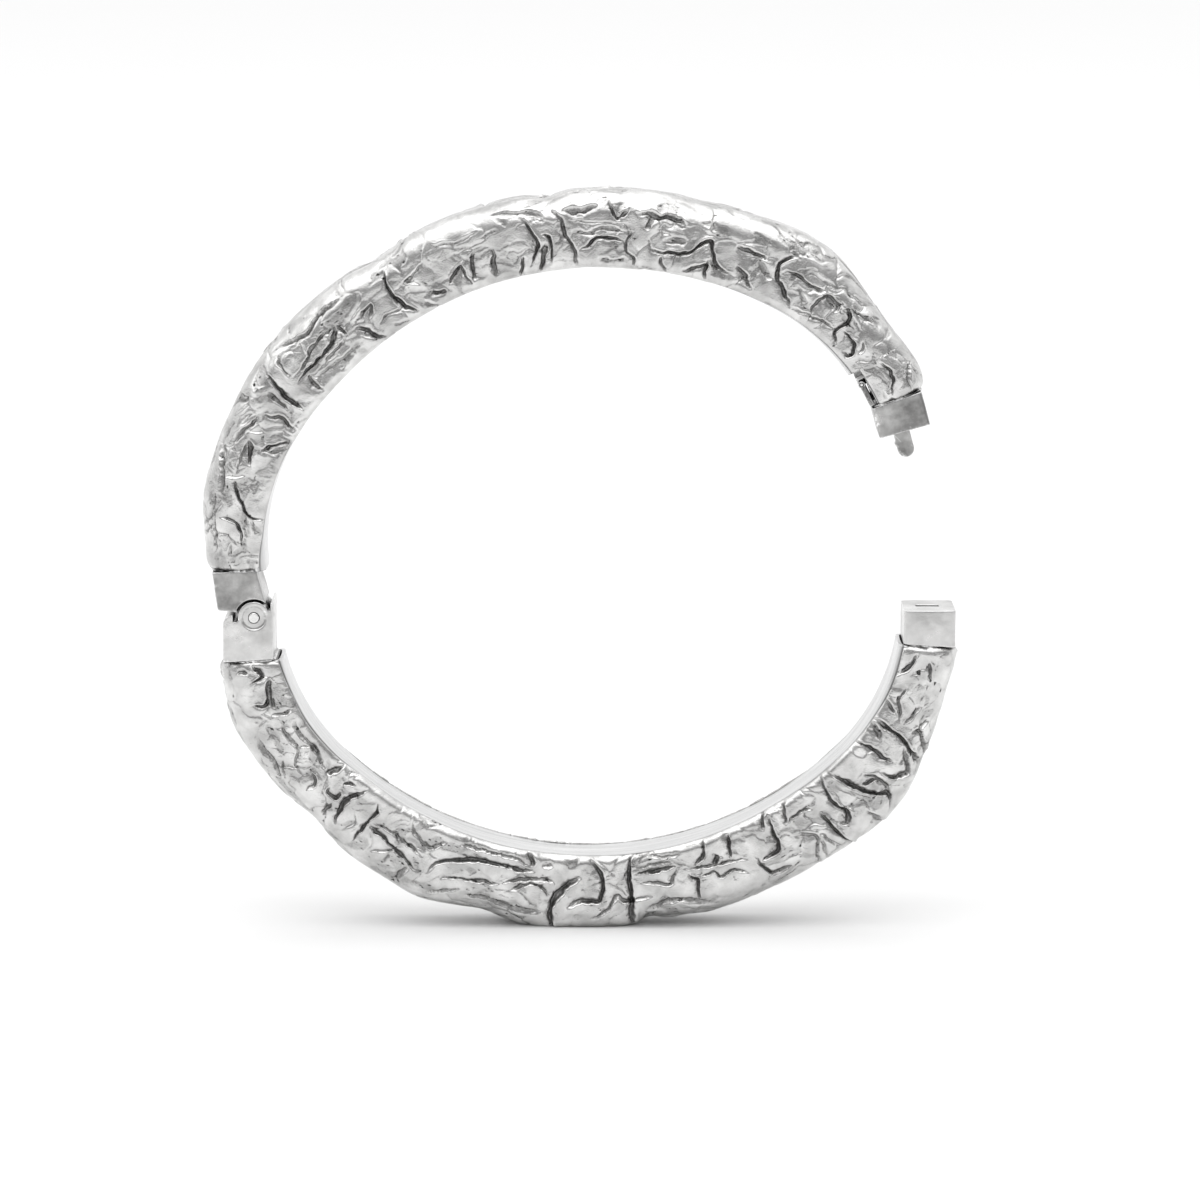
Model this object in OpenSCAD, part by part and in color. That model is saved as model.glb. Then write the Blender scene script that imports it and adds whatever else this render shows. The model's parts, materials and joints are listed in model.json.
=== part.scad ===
// A hinged oval bangle in two hollow halves, standing on its edge and partly open.
// +Z is up and +Y runs through the wrist opening, away from the front. The hinge is at -X and
// the clasp at +X. The origin is the middle of the small flat that the bangle rests on.
// The lower half is fixed. The upper half is drawn closed, then turned open about the hinge pin.

/* [Oval] */
// Inside width of the oval, from the hinge side to the clasp side
inner_w = 59.6; // [50:0.2:72]
// Inside height of the oval when the bangle is closed
inner_h = 48; // [40:0.2:58]
// How much smaller the inner oval's end radius is than half its height
inner_end_drop = 4; // [2:0.5:6]
// How much smaller the outer oval's end radius is than half its height
outer_end_drop = 1.4; // [1:0.2:3]
// How far the rest of the oval would reach below the resting flat
flat_depth = 0.4; // [0.2:0.05:0.6]
// How far the upper half stands open at rest
open_angle = 15.5; // [0:0.5:20]

/* [Tubes] */
// Radial thickness of a half at its hinge and clasp ends
tube_t_end = 5.7; // [5.2:0.1:7]
// Radial thickness of a half at its middle
tube_t_mid = 7.4; // [6:0.1:9]
// Width of the halves along Y
tube_w = 7; // [6.4:0.1:9]
// Radius of the crown's two long edges
crown_r = 2.3; // [1:0.1:2.8]
// Wall of the shells
wall = 0.6; // [0.4:0.05:0.9]
// Thickness of the lining strip
lining_t = 0.5; // [0.35:0.05:0.7]
// How far each edge of the lining is set in from the side of the shell
lining_inset = 0.15; // [0:0.05:0.3]

/* [End blocks] */
// Radial depth of the clasp blocks
block_d = 5; // [4.6:0.1:5.4]
// Width of the end blocks along Y
block_w = 6.4; // [6:0.1:8]
// Radius of the blocks' long edges
block_r = 0.35; // [0.2:0.05:0.8]
// How far a clasp block's inner face is set back from the end of the inner oval
block_setback = 0.15; // [0:0.05:0.6]
// Height of the upper clasp block at its inner face
upper_clasp_h = 3; // [2.6:0.1:4]
// Height of the lower clasp block at its inner face
lower_clasp_h = 3.3; // [3:0.1:4.5]
// Tilt of the seams between tubes and blocks
seam_tilt = 3.5; // [0:0.5:6]
// Tilt of the seam above the upper hinge block
hinge_seam_tilt = 13.5; // [0:0.5:16]
// How far the spigots reach into the tubes
spigot_l = 1.2; // [0.8:0.1:2]
// Clearance of the spigots, filled with solder
spigot_gap = 0.1; // [0.05:0.05:0.3]

/* [Hinge] */
// How far the hinge blocks' inner face is set back from the end of the inner oval
hinge_setback = 0.25; // [0:0.05:0.6]
// Distance of the pin from the inner face of the lower hinge block
pin_inset = 1.85; // [1.75:0.05:2.2]
// How far the pin's centre is below the parting plane
pin_drop = 0.7; // [0.4:0.1:1.2]
// Radius of the hinge pin
pin_r = 0.5; // [0.35:0.05:0.6]
// Running clearance between the pin and the knuckle
pin_clear = 0.04; // [0.02:0.01:0.08]
// Height of the peened head at each end of the pin
head_h = 0.12; // [0.05:0.01:0.2]
// Radius of the sunk ring round each head
sink_r = 1.16; // [1:0.02:1.3]
// Depth of the sunk ring
sink_d = 0.12; // [0.05:0.01:0.2]
// Radius of the two ears, and of the knuckle that stands between them
ear_r = 1.57; // [1.5:0.01:1.65]
// Gap between an ear and the hollow of the upper block
ear_gap = 0.21; // [0.15:0.01:0.3]
// Width of the knuckle along Y
knuckle_w = 3; // [2:0.1:3.6]
// Gap at each side of the knuckle
knuckle_gap = 0.06; // [0.03:0.01:0.15]
// Height of the lower hinge block's seam below the pin
hinge_low_h = 4.05; // [3.6:0.05:5]
// Height of the upper hinge block's seam above the pin, at its inner face
hinge_up_h = 4.2; // [3.6:0.1:5]
// Distance from the pin to the outer face of the lower hinge block
hinge_low_out = 3; // [2.8:0.05:3.4]
// Distance from the pin to the outer face of the upper hinge block
hinge_up_out = 3.15; // [2.9:0.05:3.5]
// How far the upper hinge block's outer face leans in towards its top
hinge_up_lean = 0.5; // [0:0.05:0.8]
// Height of the upper hinge block's lower outer corner above the pin, when closed
hinge_knee_h = 1.6; // [1.5:0.05:2]
// How far that block's lower edge drops from there to the ears
hinge_knee_drop = 0.5; // [0.2:0.05:0.7]
// How far the knuckle's neck reaches into the upper block
neck_in = 0.4; // [0.2:0.05:0.6]
// Height of the shoulder above the pin
shoulder_h = 0.3; // [0.1:0.05:0.4]
// Radius of the shoulder's outer corner
shoulder_r = 1.05; // [0.4:0.05:1.3]
// Width of the notch between the shoulder and the ear
notch_w = 0.4; // [0.35:0.05:0.6]
// Thickness of the lip that covers the hinge on the wrist side
lip_t = 0.3; // [0.2:0.05:0.35]
// Height of the lip above the pin
lip_h = 1.45; // [1:0.05:1.8]
// Gap between the lip and the upper block when closed
lip_gap = 0.05; // [0.03:0.01:0.1]

/* [Latch] */
// Distance of the tongue from the inner face of the clasp blocks
tongue_in = 1.4; // [1.1:0.05:1.6]
// Width of the tongue
tongue_w = 1.6; // [1.1:0.05:2]
// Thickness of the tongue along Y
tongue_t = 0.8; // [0.6:0.05:1]
// How far the tongue stands out of the upper clasp block
tongue_l = 2.8; // [1.8:0.1:3]
// Clearance round the tongue in its slot
tongue_gap = 0.08; // [0.06:0.01:0.12]
// Room for the tongue to swing outwards
tongue_swing = 0.42; // [0.4:0.02:0.6]
// How far the tongue's catch bead stands out
bead_h = 0.12; // [0.08:0.01:0.13]
// Radius of the catch bead
bead_r = 0.35; // [0.25:0.05:0.5]
// Thickness of the slotted top wall of the lower clasp block
slot_wall = 0.7; // [0.5:0.05:0.8]
// Thickness of the catch plate under that wall
catch_t = 0.3; // [0.2:0.05:0.4]
// Side walls of the chamber in the lower clasp block
chamber_wall = 0.6; // [0.5:0.05:0.8]
// Height of the lever's pivot above the parting plane
lever_up = 5.4; // [5:0.1:6.5]
// Depth of the lever's pivot behind the lining's inner surface
lever_sink = 0.6; // [0.5:0.05:0.8]
// Width of the lever along Y
lever_w = 5.8; // [5:0.1:6.2]
// Thickness of the lever's thumb bar
lever_t = 0.5; // [0.4:0.05:0.6]
// Gap between the thumb bar's free end and the clasp block
lever_end_gap = 0.2; // [0.1:0.05:0.4]
// Radius of the lever's barrel
barrel_r = 0.36; // [0.32:0.02:0.4]
// Radius of the lever's pin
lever_pin_r = 0.17; // [0.15:0.01:0.2]
// Running clearance of the lever's pin
lever_pin_clear = 0.03; // [0.02:0.01:0.05]
// Gap between the lever and its housing
lever_gap = 0.25; // [0.2:0.05:0.35]
// Height of the arm that joins the tongue to the thumb bar
arm_h = 0.75; // [0.6:0.05:0.9]
// Gap between the arm and the clasp block below it
arm_gap = 0.15; // [0.1:0.05:0.25]
// Thickness of the housing's base plate
base_t = 0.25; // [0.2:0.05:0.3]
// Length of the housing's end rail, beyond the lever's barrel
rail_l = 0.4; // [0.3:0.1:1.5]
// How far the end rail stands towards the wrist from the lever's pivot
rail_proud = 0.3; // [0.1:0.05:0.4]
// Width of the housing's lug along Y
lug_w = 2; // [1.6:0.1:2.4]
// Gap between the lug and the lever's notch round it
lug_gap = 0.08; // [0.05:0.01:0.12]
// Thickness of the lever's leaf springs
leaf_t = 0.07; // [0.05:0.01:0.1]
// Width of each leaf spring along Y
leaf_w = 1.2; // [0.8:0.1:1.6]
// Distance of the leaf springs from the lug's notch
leaf_off = 0.2; // [0.1:0.05:0.3]

/* [Hidden] */
$fn = 64;

// Small overlap for cuts that run past a face
eps = 0.05;
// Half sizes of the inner and outer ovals, and their end radii
in_a = inner_w / 2;
in_b = inner_h / 2;
in_r = in_b - inner_end_drop;
out_a = in_a + tube_t_end;
out_b = in_b + tube_t_mid;
out_r = out_b - outer_end_drop;
// The parting plane's height, where the two clasp blocks meet
part_z = out_b - flat_depth;
// Depth of the crown's sweep, which reaches past the inner oval
sweep_d = tube_t_mid + 3;
// How far the sweep runs past the parting plane, in degrees
past = 2;
// Steps of the sweep along each end arc and the middle arc, and round each edge of the crown
end_steps = 8;
mid_steps = 12;
edge_steps = 4;
// Reach of the cutting shapes
far = 2 * out_a;

// The clasp blocks' inner and outer faces and the hinge blocks' inner face, as distances from
// the middle plane
block_in = in_a + block_setback;
block_out = block_in + block_d;
hinge_in = in_a + hinge_setback;
// The hinge pin's centre
hinge_x = -(hinge_in + pin_inset);
hinge_z = part_z - pin_drop;
// Heights of the hinge seams from the parting plane
hinge_low_seam = hinge_low_h + pin_drop;
hinge_up_seam = hinge_up_h - pin_drop;
// The upper hinge block's inner face is behind the lip
hinge_up_in = pin_inset - lip_t - lip_gap;
// Length of the pin, from one ear's sunk face to the other's
pin_l = block_w - 2 * sink_d;
// Radius of the hollow round the ears
hollow_r = ear_r + ear_gap;

// The tongue's inner and outer edges, and the slot's
tongue_x0 = block_in + tongue_in;
tongue_x1 = tongue_x0 + tongue_w;
slot_x0 = tongue_x0 - tongue_gap;
slot_x1 = tongue_x1 + tongue_swing + tongue_gap;
// Width of the slot along Y
slot_w = tongue_t + 2 * tongue_gap;
// The arm's lower and upper faces, above the parting plane
arm_z = upper_clasp_h + arm_gap + tan(seam_tilt) * (tongue_x1 - block_in);
arm_top = arm_z + arm_h;

// The lever's pivot, above the parting plane, and the lean of its thumb bar
lever_x = oval_x(in_a, in_r, lever_up) + lever_sink;
lever_lean = asin((lever_up - upper_clasp_h / 2) / in_r) + 1;
// Distance from the pivot to the thumb bar's free end
lever_l = (lever_up - upper_clasp_h - lever_end_gap) / cos(lever_lean);
// Depths of the housing's base plate and floor behind the pivot
base_in = lever_t / 2 + lever_gap;
floor_in = base_in + base_t;
// The housing's rail ends here, up from the pivot
rail_up = barrel_r + lever_gap / 2 + rail_l;
// A leaf spring's length, its rise at the middle and the radius of its bow
leaf_l = 0.6 * lever_l;
leaf_bow = 0.4 * lever_gap;
leaf_r = (pow(leaf_l / 2, 2) + pow(leaf_bow, 2)) / (2 * leaf_bow);

// Radius of a four-centre oval's middle arc
function mid_r(a, b, r) = (pow(a - r, 2) + b * b - r * r) / (2 * (b - r));
// Angle from the parting plane at which an end arc meets the middle arc
function blend(a, b, r) = atan2(mid_r(a, b, r) - b, a - r);
// Half width of an oval at height z, on its end arc
function oval_x(a, r, z) = a - r + sqrt(r * r - z * z);
// Distance from the parting plane of a seam that starts h away at the distance x0 and tilts
function seam(h, x, x0, tilt) = h + (x - x0) * tan(tilt);
// Middle of the lever's thumb bar at height z, closed
function bar_x(z) = lever_x + (lever_up - z) * tan(lever_lean);

// Extrudes an outline in X and Z by w along Y, centred
module side(w) rotate([90, 0, 0]) linear_extrude(w, center = true) children();

// Puts lower-half shapes, drawn about the parting plane, in place
module lower() translate([0, 0, part_z]) children();

// Puts upper-half shapes, drawn closed above the parting plane, in place and turns them open
module upper()
    translate([hinge_x, 0, hinge_z]) rotate([0, -open_angle, 0])
    translate([-hinge_x, 0, part_z - hinge_z]) children();

// The area inside a four-centre oval's lower half, and a little above it
module oval_area(a, b, r) {
    big = mid_r(a, b, r);
    t = blend(a, b, r);
    for (s = [-1, 1]) translate([s * (a - r), 0]) circle(r, $fn = 180);
    translate([0, big - b]) intersection() {
        circle(big, $fn = 180);
        polygon([[0, 0], [far * cos(t), -far * sin(t)], [far * cos(t), -2 * far],
            [-far * cos(t), -2 * far], [-far * cos(t), -far * sin(t)]]);
    }
}

// Stations along a lower half-oval, from hinge to clasp and a little past both ends, each as
// the arc's centre, its radius and the angle
function stations(a, b, r) = let(big = mid_r(a, b, r), t = blend(a, b, r)) concat(
    [for (i = [0:end_steps - 1]) [r - a, 0, r, 180 - past + (t + past) * i / end_steps]],
    [for (i = [0:mid_steps - 1]) [0, big - b, big, 180 + t + (180 - 2 * t) * i / mid_steps]],
    [for (i = [0:end_steps]) [a - r, 0, r, 360 - t + (t + past) * i / end_steps]]);

// A tube's section as points of depth below the crown and place along Y
function crown(depth, w, edge_r) = let(q = w / 2 - edge_r) concat(
    [[sweep_d, -w / 2]],
    [for (i = [0:edge_steps]) let(t = 90 * i / edge_steps)
        [depth + edge_r * (1 - sin(t)), -q - edge_r * cos(t)]],
    [for (i = [edge_steps:-1:0]) let(t = 90 * i / edge_steps)
        [depth + edge_r * (1 - sin(t)), q + edge_r * cos(t)]],
    [[sweep_d, w / 2]]);

// The U section of a shell, as one closed loop
function shell_loop() = let(bore = crown(wall, tube_w - 2 * wall, crown_r - wall))
    concat(crown(0, tube_w, crown_r), [for (i = [len(bore) - 1:-1:0]) bore[i]]);

// A U-section channel swept along a lower half-oval, reaching in past the lining
module swept_shell() {
    path = stations(out_a, out_b, out_r);
    loop = shell_loop();
    n = len(loop);
    last = len(path) - 1;
    polyhedron(
        points = [for (s = path, p = loop)
            [s[0] + (s[2] - p[0]) * cos(s[3]), p[1], s[1] + (s[2] - p[0]) * sin(s[3])]],
        faces = concat(
            [for (i = [0:last - 1], j = [0:n - 1]) let(k = (j + 1) % n)
                [i * n + j, i * n + k, (i + 1) * n + k, (i + 1) * n + j]],
            [for (j = [0:n / 2 - 2]) [j, n - 1 - j, n - 2 - j, j + 1]],
            [for (j = [0:n / 2 - 2]) [last * n + j, last * n + j + 1, last * n + n - 2 - j,
                last * n + n - 1 - j]]));
}

// Everything of a half below its two seams
module between_seams(hinge_h, hinge_tilt, clasp_h, clasp_tilt, w)
    side(w) polygon([
        [-far, -seam(hinge_h, far, hinge_in, hinge_tilt)],
        [-hinge_in, -hinge_h],
        [-in_a / 2, -hinge_h],
        [in_a / 2, -clasp_h],
        [block_in, -clasp_h],
        [far, -seam(clasp_h, far, block_in, clasp_tilt)],
        [far, -far],
        [-far, -far]]);

// A U-section shell, open towards the wrist
module shell_half(hinge_h, hinge_tilt, clasp_h, clasp_tilt) intersection() {
    difference() {
        swept_shell();
        side(tube_w + 1) oval_area(in_a + lining_t, in_b + lining_t, in_r + lining_t);
    }
    between_seams(hinge_h, hinge_tilt, clasp_h, clasp_tilt, tube_w + 1);
}

// The smooth strip that closes the shell on the wrist side
module lining_half(hinge_h, hinge_tilt, clasp_h, clasp_tilt) intersection() {
    side(tube_w - 2 * lining_inset) difference() {
        oval_area(in_a + lining_t, in_b + lining_t, in_r + lining_t);
        oval_area(in_a, in_b, in_r);
    }
    between_seams(hinge_h, hinge_tilt, clasp_h, clasp_tilt, tube_w + 1);
}

// A rounded bar along Z, from x0 to x1, that gives the blocks their long edges
module block_bar(x0, x1, r) translate([0, 0, -far / 2]) linear_extrude(far) {
    translate([x0 + r, -block_w / 2]) square([x1 - x0 - 2 * r, block_w]);
    translate([x0, r - block_w / 2]) square([x1 - x0, block_w - 2 * r]);
    for (x = [x0 + r, x1 - r], y = [-1, 1]) translate([x, y * (block_w / 2 - r)]) circle(r);
}

// A spigot that plugs into a tube's end, drawn on the clasp side; its seam starts h away from
// the parting plane at the distance from
module spigot(h, from, tilt) {
    tip = h + spigot_l;
    x0 = oval_x(in_a, in_r, h) + lining_t + spigot_gap;
    x1 = oval_x(out_a, out_r, tip) - wall - spigot_gap;
    r = crown_r - wall;
    y = tube_w / 2 - wall - spigot_gap;
    intersection() {
        translate([0, 0, -tip]) linear_extrude(tip) {
            translate([x0, -y]) square([x1 - r - x0, 2 * y]);
            translate([x0, r - y]) square([x1 - x0, 2 * y - 2 * r]);
            for (s = [-1, 1]) translate([x1 - r, s * (y - r)]) circle(r);
        }
        side(tube_w) polygon([
            [0, -seam(h, 0, from, tilt) + eps],
            [far, -seam(h, far, from, tilt) + eps],
            [far, -far],
            [0, -far]]);
    }
}

// The outline of a clasp block, from the parting plane down to its seam
module clasp_outline(h) polygon([[block_in, 0], [block_out, 0],
    [block_out, -seam(h, block_out, block_in, seam_tilt)], [block_in, -h]]);

// The lower half's shell, with the flat that the bangle rests on
module lower_shell() color([0.80, 0.80, 0.81]) difference() {
    lower() shell_half(hinge_low_seam, seam_tilt, lower_clasp_h, seam_tilt);
    translate([-far / 2, -tube_w, -far]) cube([far, 2 * tube_w, far]);
}

module lower_lining() color([0.88, 0.88, 0.89])
    lower() lining_half(hinge_low_seam, seam_tilt, lower_clasp_h, seam_tilt);

// The lower hinge block: two ears for the pin, a shoulder, a lip and a slot for the knuckle
module lower_hinge_block() color([0.72, 0.72, 0.73]) difference() {
    union() {
        intersection() {
            translate([hinge_x, 0, hinge_z]) side(block_w) {
                hinge_body();
                circle(ear_r);
                translate([pin_inset - lip_t, -ear_r]) square([lip_t, ear_r + lip_h]);
            }
            block_bar(hinge_x - hinge_low_out, hinge_x + pin_inset, block_r / 2);
        }
        lower() mirror([1, 0, 0]) spigot(hinge_low_seam, hinge_in, seam_tilt);
    }
    translate([hinge_x, 0, hinge_z]) {
        side(knuckle_w + 2 * knuckle_gap) {
            circle(hollow_r);
            translate([-ear_r - notch_w, -notch_w]) square([hollow_r + notch_w, hollow_r + notch_w]);
        }
        side(block_w + 1) circle(pin_r);
        for (s = [-1, 1]) translate([0, s * (block_w / 2 + 0.5 - sink_d), 0]) side(1) circle(sink_r);
    }
}

// Outline of the lower hinge block's body about the pin
module hinge_body() {
    corner = [shoulder_r - hinge_low_out, shoulder_h - shoulder_r];
    polygon([
        [pin_inset, -hinge_low_h],
        [pin_inset, 0],
        [-ear_r - notch_w, -notch_w],
        [-ear_r - notch_w, shoulder_h],
        [corner.x, shoulder_h],
        corner,
        [-hinge_low_out, corner.y],
        [-hinge_low_out, -seam(hinge_low_h, hinge_low_out, -pin_inset, seam_tilt)]]);
    intersection() {
        translate(corner) circle(shoulder_r);
        translate([-hinge_low_out, corner.y]) square(shoulder_r);
    }
}

// The lower clasp block: a hollow box with the tongue's slot in its top wall
module lower_clasp_block() color([0.72, 0.72, 0.73]) lower() difference() {
    union() {
        intersection() {
            side(block_w) clasp_outline(lower_clasp_h);
            block_bar(block_in, block_out, block_r);
        }
        spigot(lower_clasp_h, block_in, seam_tilt);
    }
    translate([slot_x0, -slot_w / 2, -far]) cube([slot_x1 - slot_x0, slot_w, 2 * far]);
    translate([block_in + chamber_wall, chamber_wall - block_w / 2, -far])
        cube([block_d - 2 * chamber_wall, block_w - 2 * chamber_wall, far - slot_wall]);
}

// The plate under the top wall whose edge holds the tongue's bead
module catch_plate() color([0.62, 0.62, 0.64]) lower()
    translate([block_in + chamber_wall, chamber_wall - block_w / 2, -slot_wall - catch_t])
    cube([slot_x0 - block_in - chamber_wall, block_w - 2 * chamber_wall, catch_t]);

// The hinge pin, peened over in the sunk rings
module hinge_pin() color([0.85, 0.85, 0.86]) translate([hinge_x, 0, hinge_z]) {
    side(pin_l) circle(pin_r);
    for (s = [-1, 1]) translate([0, s * (pin_l + head_h) / 2, 0]) side(head_h) circle(pin_r);
}

// Moves shapes drawn about the lever's pivot, outwards along +X and up along +Z, into place
module lever_place() translate([lever_x, 0, lever_up]) rotate([0, -lever_lean, 0]) children();

// Space for the lever and its housing in the upper half, drawn closed
module lever_room() lever_place()
    translate([-sweep_d, -tube_w, -far]) cube([sweep_d + floor_in, 2 * tube_w, far + rail_up]);

module upper_shell() color([0.80, 0.80, 0.81]) upper() difference() {
    mirror([0, 0, 1]) shell_half(hinge_up_seam, hinge_seam_tilt, upper_clasp_h, seam_tilt);
    lever_room();
}

module upper_lining() color([0.88, 0.88, 0.89]) upper() difference() {
    mirror([0, 0, 1]) lining_half(hinge_up_seam, hinge_seam_tilt, upper_clasp_h, seam_tilt);
    lever_room();
}

// The upper hinge block: hollowed round the ears, with the knuckle between them
module upper_hinge_block() color([0.72, 0.72, 0.73]) upper() {
    place = [hinge_x, 0, hinge_z - part_z];
    difference() {
        union() {
            difference() {
                intersection() {
                    translate(place) side(block_w) upper_hinge_outline();
                    block_bar(hinge_x - hinge_up_out, hinge_x + hinge_up_in, block_r / 2);
                }
                translate(place) side(block_w + 1) circle(hollow_r);
            }
            translate(place) side(knuckle_w) {
                circle(ear_r);
                translate([-ear_r, 0]) square([ear_r + hinge_up_in, hollow_r + neck_in]);
            }
            rotate([0, 180, 0]) spigot(hinge_up_seam, hinge_in, hinge_seam_tilt);
        }
        translate(place) side(block_w) circle(pin_r + pin_clear);
    }
}

// Outline of the upper hinge block about the pin, closed
module upper_hinge_outline() {
    top_x = hinge_up_out - hinge_up_lean;
    polygon([
        [0, 0],
        [hinge_up_in, 0],
        [hinge_up_in, seam(hinge_up_h, -hinge_up_in, -pin_inset, hinge_seam_tilt)],
        [-top_x, seam(hinge_up_h, top_x, -pin_inset, hinge_seam_tilt)],
        [-hinge_up_out, hinge_knee_h],
        [-hollow_r, hinge_knee_h - hinge_knee_drop]]);
}

// The upper clasp block: slotted right through for the lever's blade
module upper_clasp_block() color([0.72, 0.72, 0.73]) upper() difference() {
    mirror([0, 0, 1]) union() {
        intersection() {
            side(block_w) clasp_outline(upper_clasp_h);
            block_bar(block_in, block_out, block_r);
        }
        spigot(upper_clasp_h, block_in, seam_tilt);
    }
    translate([slot_x0, -slot_w / 2, -far]) cube([slot_x1 - slot_x0, slot_w, 2 * far]);
    // The spigot stops short of the arm and of the housing
    translate([0, -slot_w / 2, upper_clasp_h + eps]) cube([slot_x1, slot_w, far]);
    intersection() {
        lever_room();
        translate([0, -tube_w, upper_clasp_h + eps]) cube([far, 2 * tube_w, far]);
    }
}

// The lever's housing: a base plate, an end rail and a lug for the pivot pin
module lever_housing() color([0.78, 0.78, 0.79]) upper() lever_place() difference() {
    low = -lever_l - eps;
    union() {
        translate([base_in, -lever_w / 2, low]) cube([base_t, lever_w, rail_up - low]);
        translate([-rail_proud, -lever_w / 2, rail_up - rail_l])
            cube([rail_proud + base_in + eps, lever_w, rail_l]);
        side(lug_w) {
            circle(barrel_r);
            translate([0, -barrel_r]) square([base_in + eps, 2 * barrel_r]);
        }
    }
    side(lug_w + 1) circle(lever_pin_r);
    // The arm passes through the base plate
    translate([0, -slot_w / 2, -far]) cube([far, slot_w, far - (lever_up - arm_top - arm_gap)]);
}

// The lever's pivot pin, fast in the lug
module lever_pin() color([0.9, 0.9, 0.91]) upper() lever_place() side(lever_w) circle(lever_pin_r);

// Two bowed leaves that press the lever towards the wrist, one at each side of the lug
module lever_springs() color([0.6, 0.6, 0.62]) upper() lever_place() {
    leaf_y = lug_w / 2 + lug_gap + leaf_off + leaf_w / 2;
    leaf_x = base_in - leaf_bow - leaf_t;
    for (s = [-1, 1]) translate([0, s * leaf_y, -(lever_l + barrel_r) / 2])
        side(leaf_w) intersection() {
            translate([leaf_x + leaf_r, 0]) difference() {
                circle(leaf_r);
                circle(leaf_r - leaf_t);
            }
            translate([leaf_x, -leaf_l / 2]) square([leaf_bow + leaf_t, leaf_l]);
        }
}

// The latch: thumb bar, arm and tongue in one piece
module latch_lever() color([0.66, 0.66, 0.67]) upper() {
    notch = lug_w + 2 * lug_gap;
    reach = barrel_r + eps;
    lever_place() difference() {
        union() {
            translate([-lever_t / 2, -lever_w / 2, -lever_l]) cube([lever_t, lever_w, lever_l]);
            side(lever_w) circle(barrel_r);
        }
        side(lever_w + 1) circle(lever_pin_r + lever_pin_clear);
        translate([-reach, -notch / 2, -barrel_r - lug_gap]) cube([2 * reach, notch, far]);
    }
    side(tongue_t) {
        polygon([[bar_x(arm_top), arm_top], [tongue_x1, arm_top], [tongue_x1, arm_z],
            [bar_x(arm_z), arm_z]]);
        translate([tongue_x0, tongue_w / 2 - tongue_l])
            square([tongue_w, tongue_l - tongue_w / 2 + arm_top]);
        translate([tongue_x0 + tongue_w / 2, tongue_w / 2 - tongue_l]) circle(tongue_w / 2);
        translate([tongue_x0 - bead_h + bead_r, -slot_wall - catch_t - bead_r]) circle(bead_r);
    }
}

lower_shell();
lower_lining();
lower_hinge_block();
lower_clasp_block();
catch_plate();
hinge_pin();
upper_shell();
upper_lining();
upper_hinge_block();
upper_clasp_block();
lever_housing();
lever_pin();
lever_springs();
latch_lever();
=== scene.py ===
import json
import math

import bmesh
import bpy
import numpy as np
from mathutils import Matrix, Vector


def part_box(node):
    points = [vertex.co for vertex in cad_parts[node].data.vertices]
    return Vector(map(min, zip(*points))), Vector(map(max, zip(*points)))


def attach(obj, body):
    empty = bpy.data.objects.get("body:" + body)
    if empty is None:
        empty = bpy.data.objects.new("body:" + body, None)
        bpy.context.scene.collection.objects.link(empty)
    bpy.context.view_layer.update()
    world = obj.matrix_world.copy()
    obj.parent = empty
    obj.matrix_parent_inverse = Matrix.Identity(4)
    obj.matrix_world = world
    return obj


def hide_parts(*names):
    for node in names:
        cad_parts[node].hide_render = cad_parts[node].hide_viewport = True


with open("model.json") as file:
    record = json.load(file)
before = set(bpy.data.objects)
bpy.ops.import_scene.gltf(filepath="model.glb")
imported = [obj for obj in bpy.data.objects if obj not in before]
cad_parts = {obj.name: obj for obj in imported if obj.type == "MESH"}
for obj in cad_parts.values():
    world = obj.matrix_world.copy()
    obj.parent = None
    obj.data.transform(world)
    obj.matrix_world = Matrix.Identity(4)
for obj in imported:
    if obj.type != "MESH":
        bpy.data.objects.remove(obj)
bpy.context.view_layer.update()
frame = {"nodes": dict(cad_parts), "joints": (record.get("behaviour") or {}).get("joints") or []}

# ------------ sizes, in millimetres
MM = 0.001
# Half width, half height and end radius of the inner and outer ovals that the band lies between
INNER_OVAL = (29.8, 24.0, 20.0)
OUTER_OVAL = (35.5, 31.4, 30.0)
# Half width of the band's base shape, before its lumps, and the most that any lump may reach
HALF_W = 3.28
HALF_W_MOST = 3.57
# Roundings of the section: at the crown, and at the corner on the wrist side
CROWN_R = 2.4
CORNER_R = 0.85
# Half width of the section's flat on the wrist side
FLAT = HALF_W - CORNER_R
# How far the crumpled sheet stands proud of the lining, and the lining's thickness
SHEET_PROUD = 0.14
LINING_T = 0.32
# Rounding of the tube's ends where they meet the blocks
END_R = 0.55
# Stations along a half, and points round the section, for the sheet and for the lining
STATIONS = 1150
ROUND = 150
LINING_STATIONS = 420
LINING_ROUND = 44
# How far the sheet's points are drawn towards the front, as a share of the way round
DRAWN_FORWARD = 0.11
# Short creases in random places, over the crown and the back, on each half
RANDOM_CREASES = 80
# The solder beads: points along, sides, inset from the sheet's face, and mean radius
BEAD_POINTS = 240
BEAD_SIDES = 14
BEAD_INSET = 0.36
BEAD_R = 0.19

PART_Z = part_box("lower_clasp_block")[1].z / MM
BLOCK_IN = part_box("lower_clasp_block")[0].x / MM
HINGE = next(j for j in frame["joints"] if j["name"] == "bangle_hinge")
PIVOT_X = HINGE["pos_m"][0] / MM
PIVOT_Z = HINGE["pos_m"][2] / MM
OPEN = math.radians(-HINGE["range_deg"][0])

# Each half's seams: distance from the parting plane at the block's inner face, and the tilt
SEAMS = {
    "lower": {"hinge": (4.75, 3.5), "clasp": (3.3, 3.5)},
    "upper": {"hinge": (3.5, 13.5), "clasp": (3.0, 3.5)},
}

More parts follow.
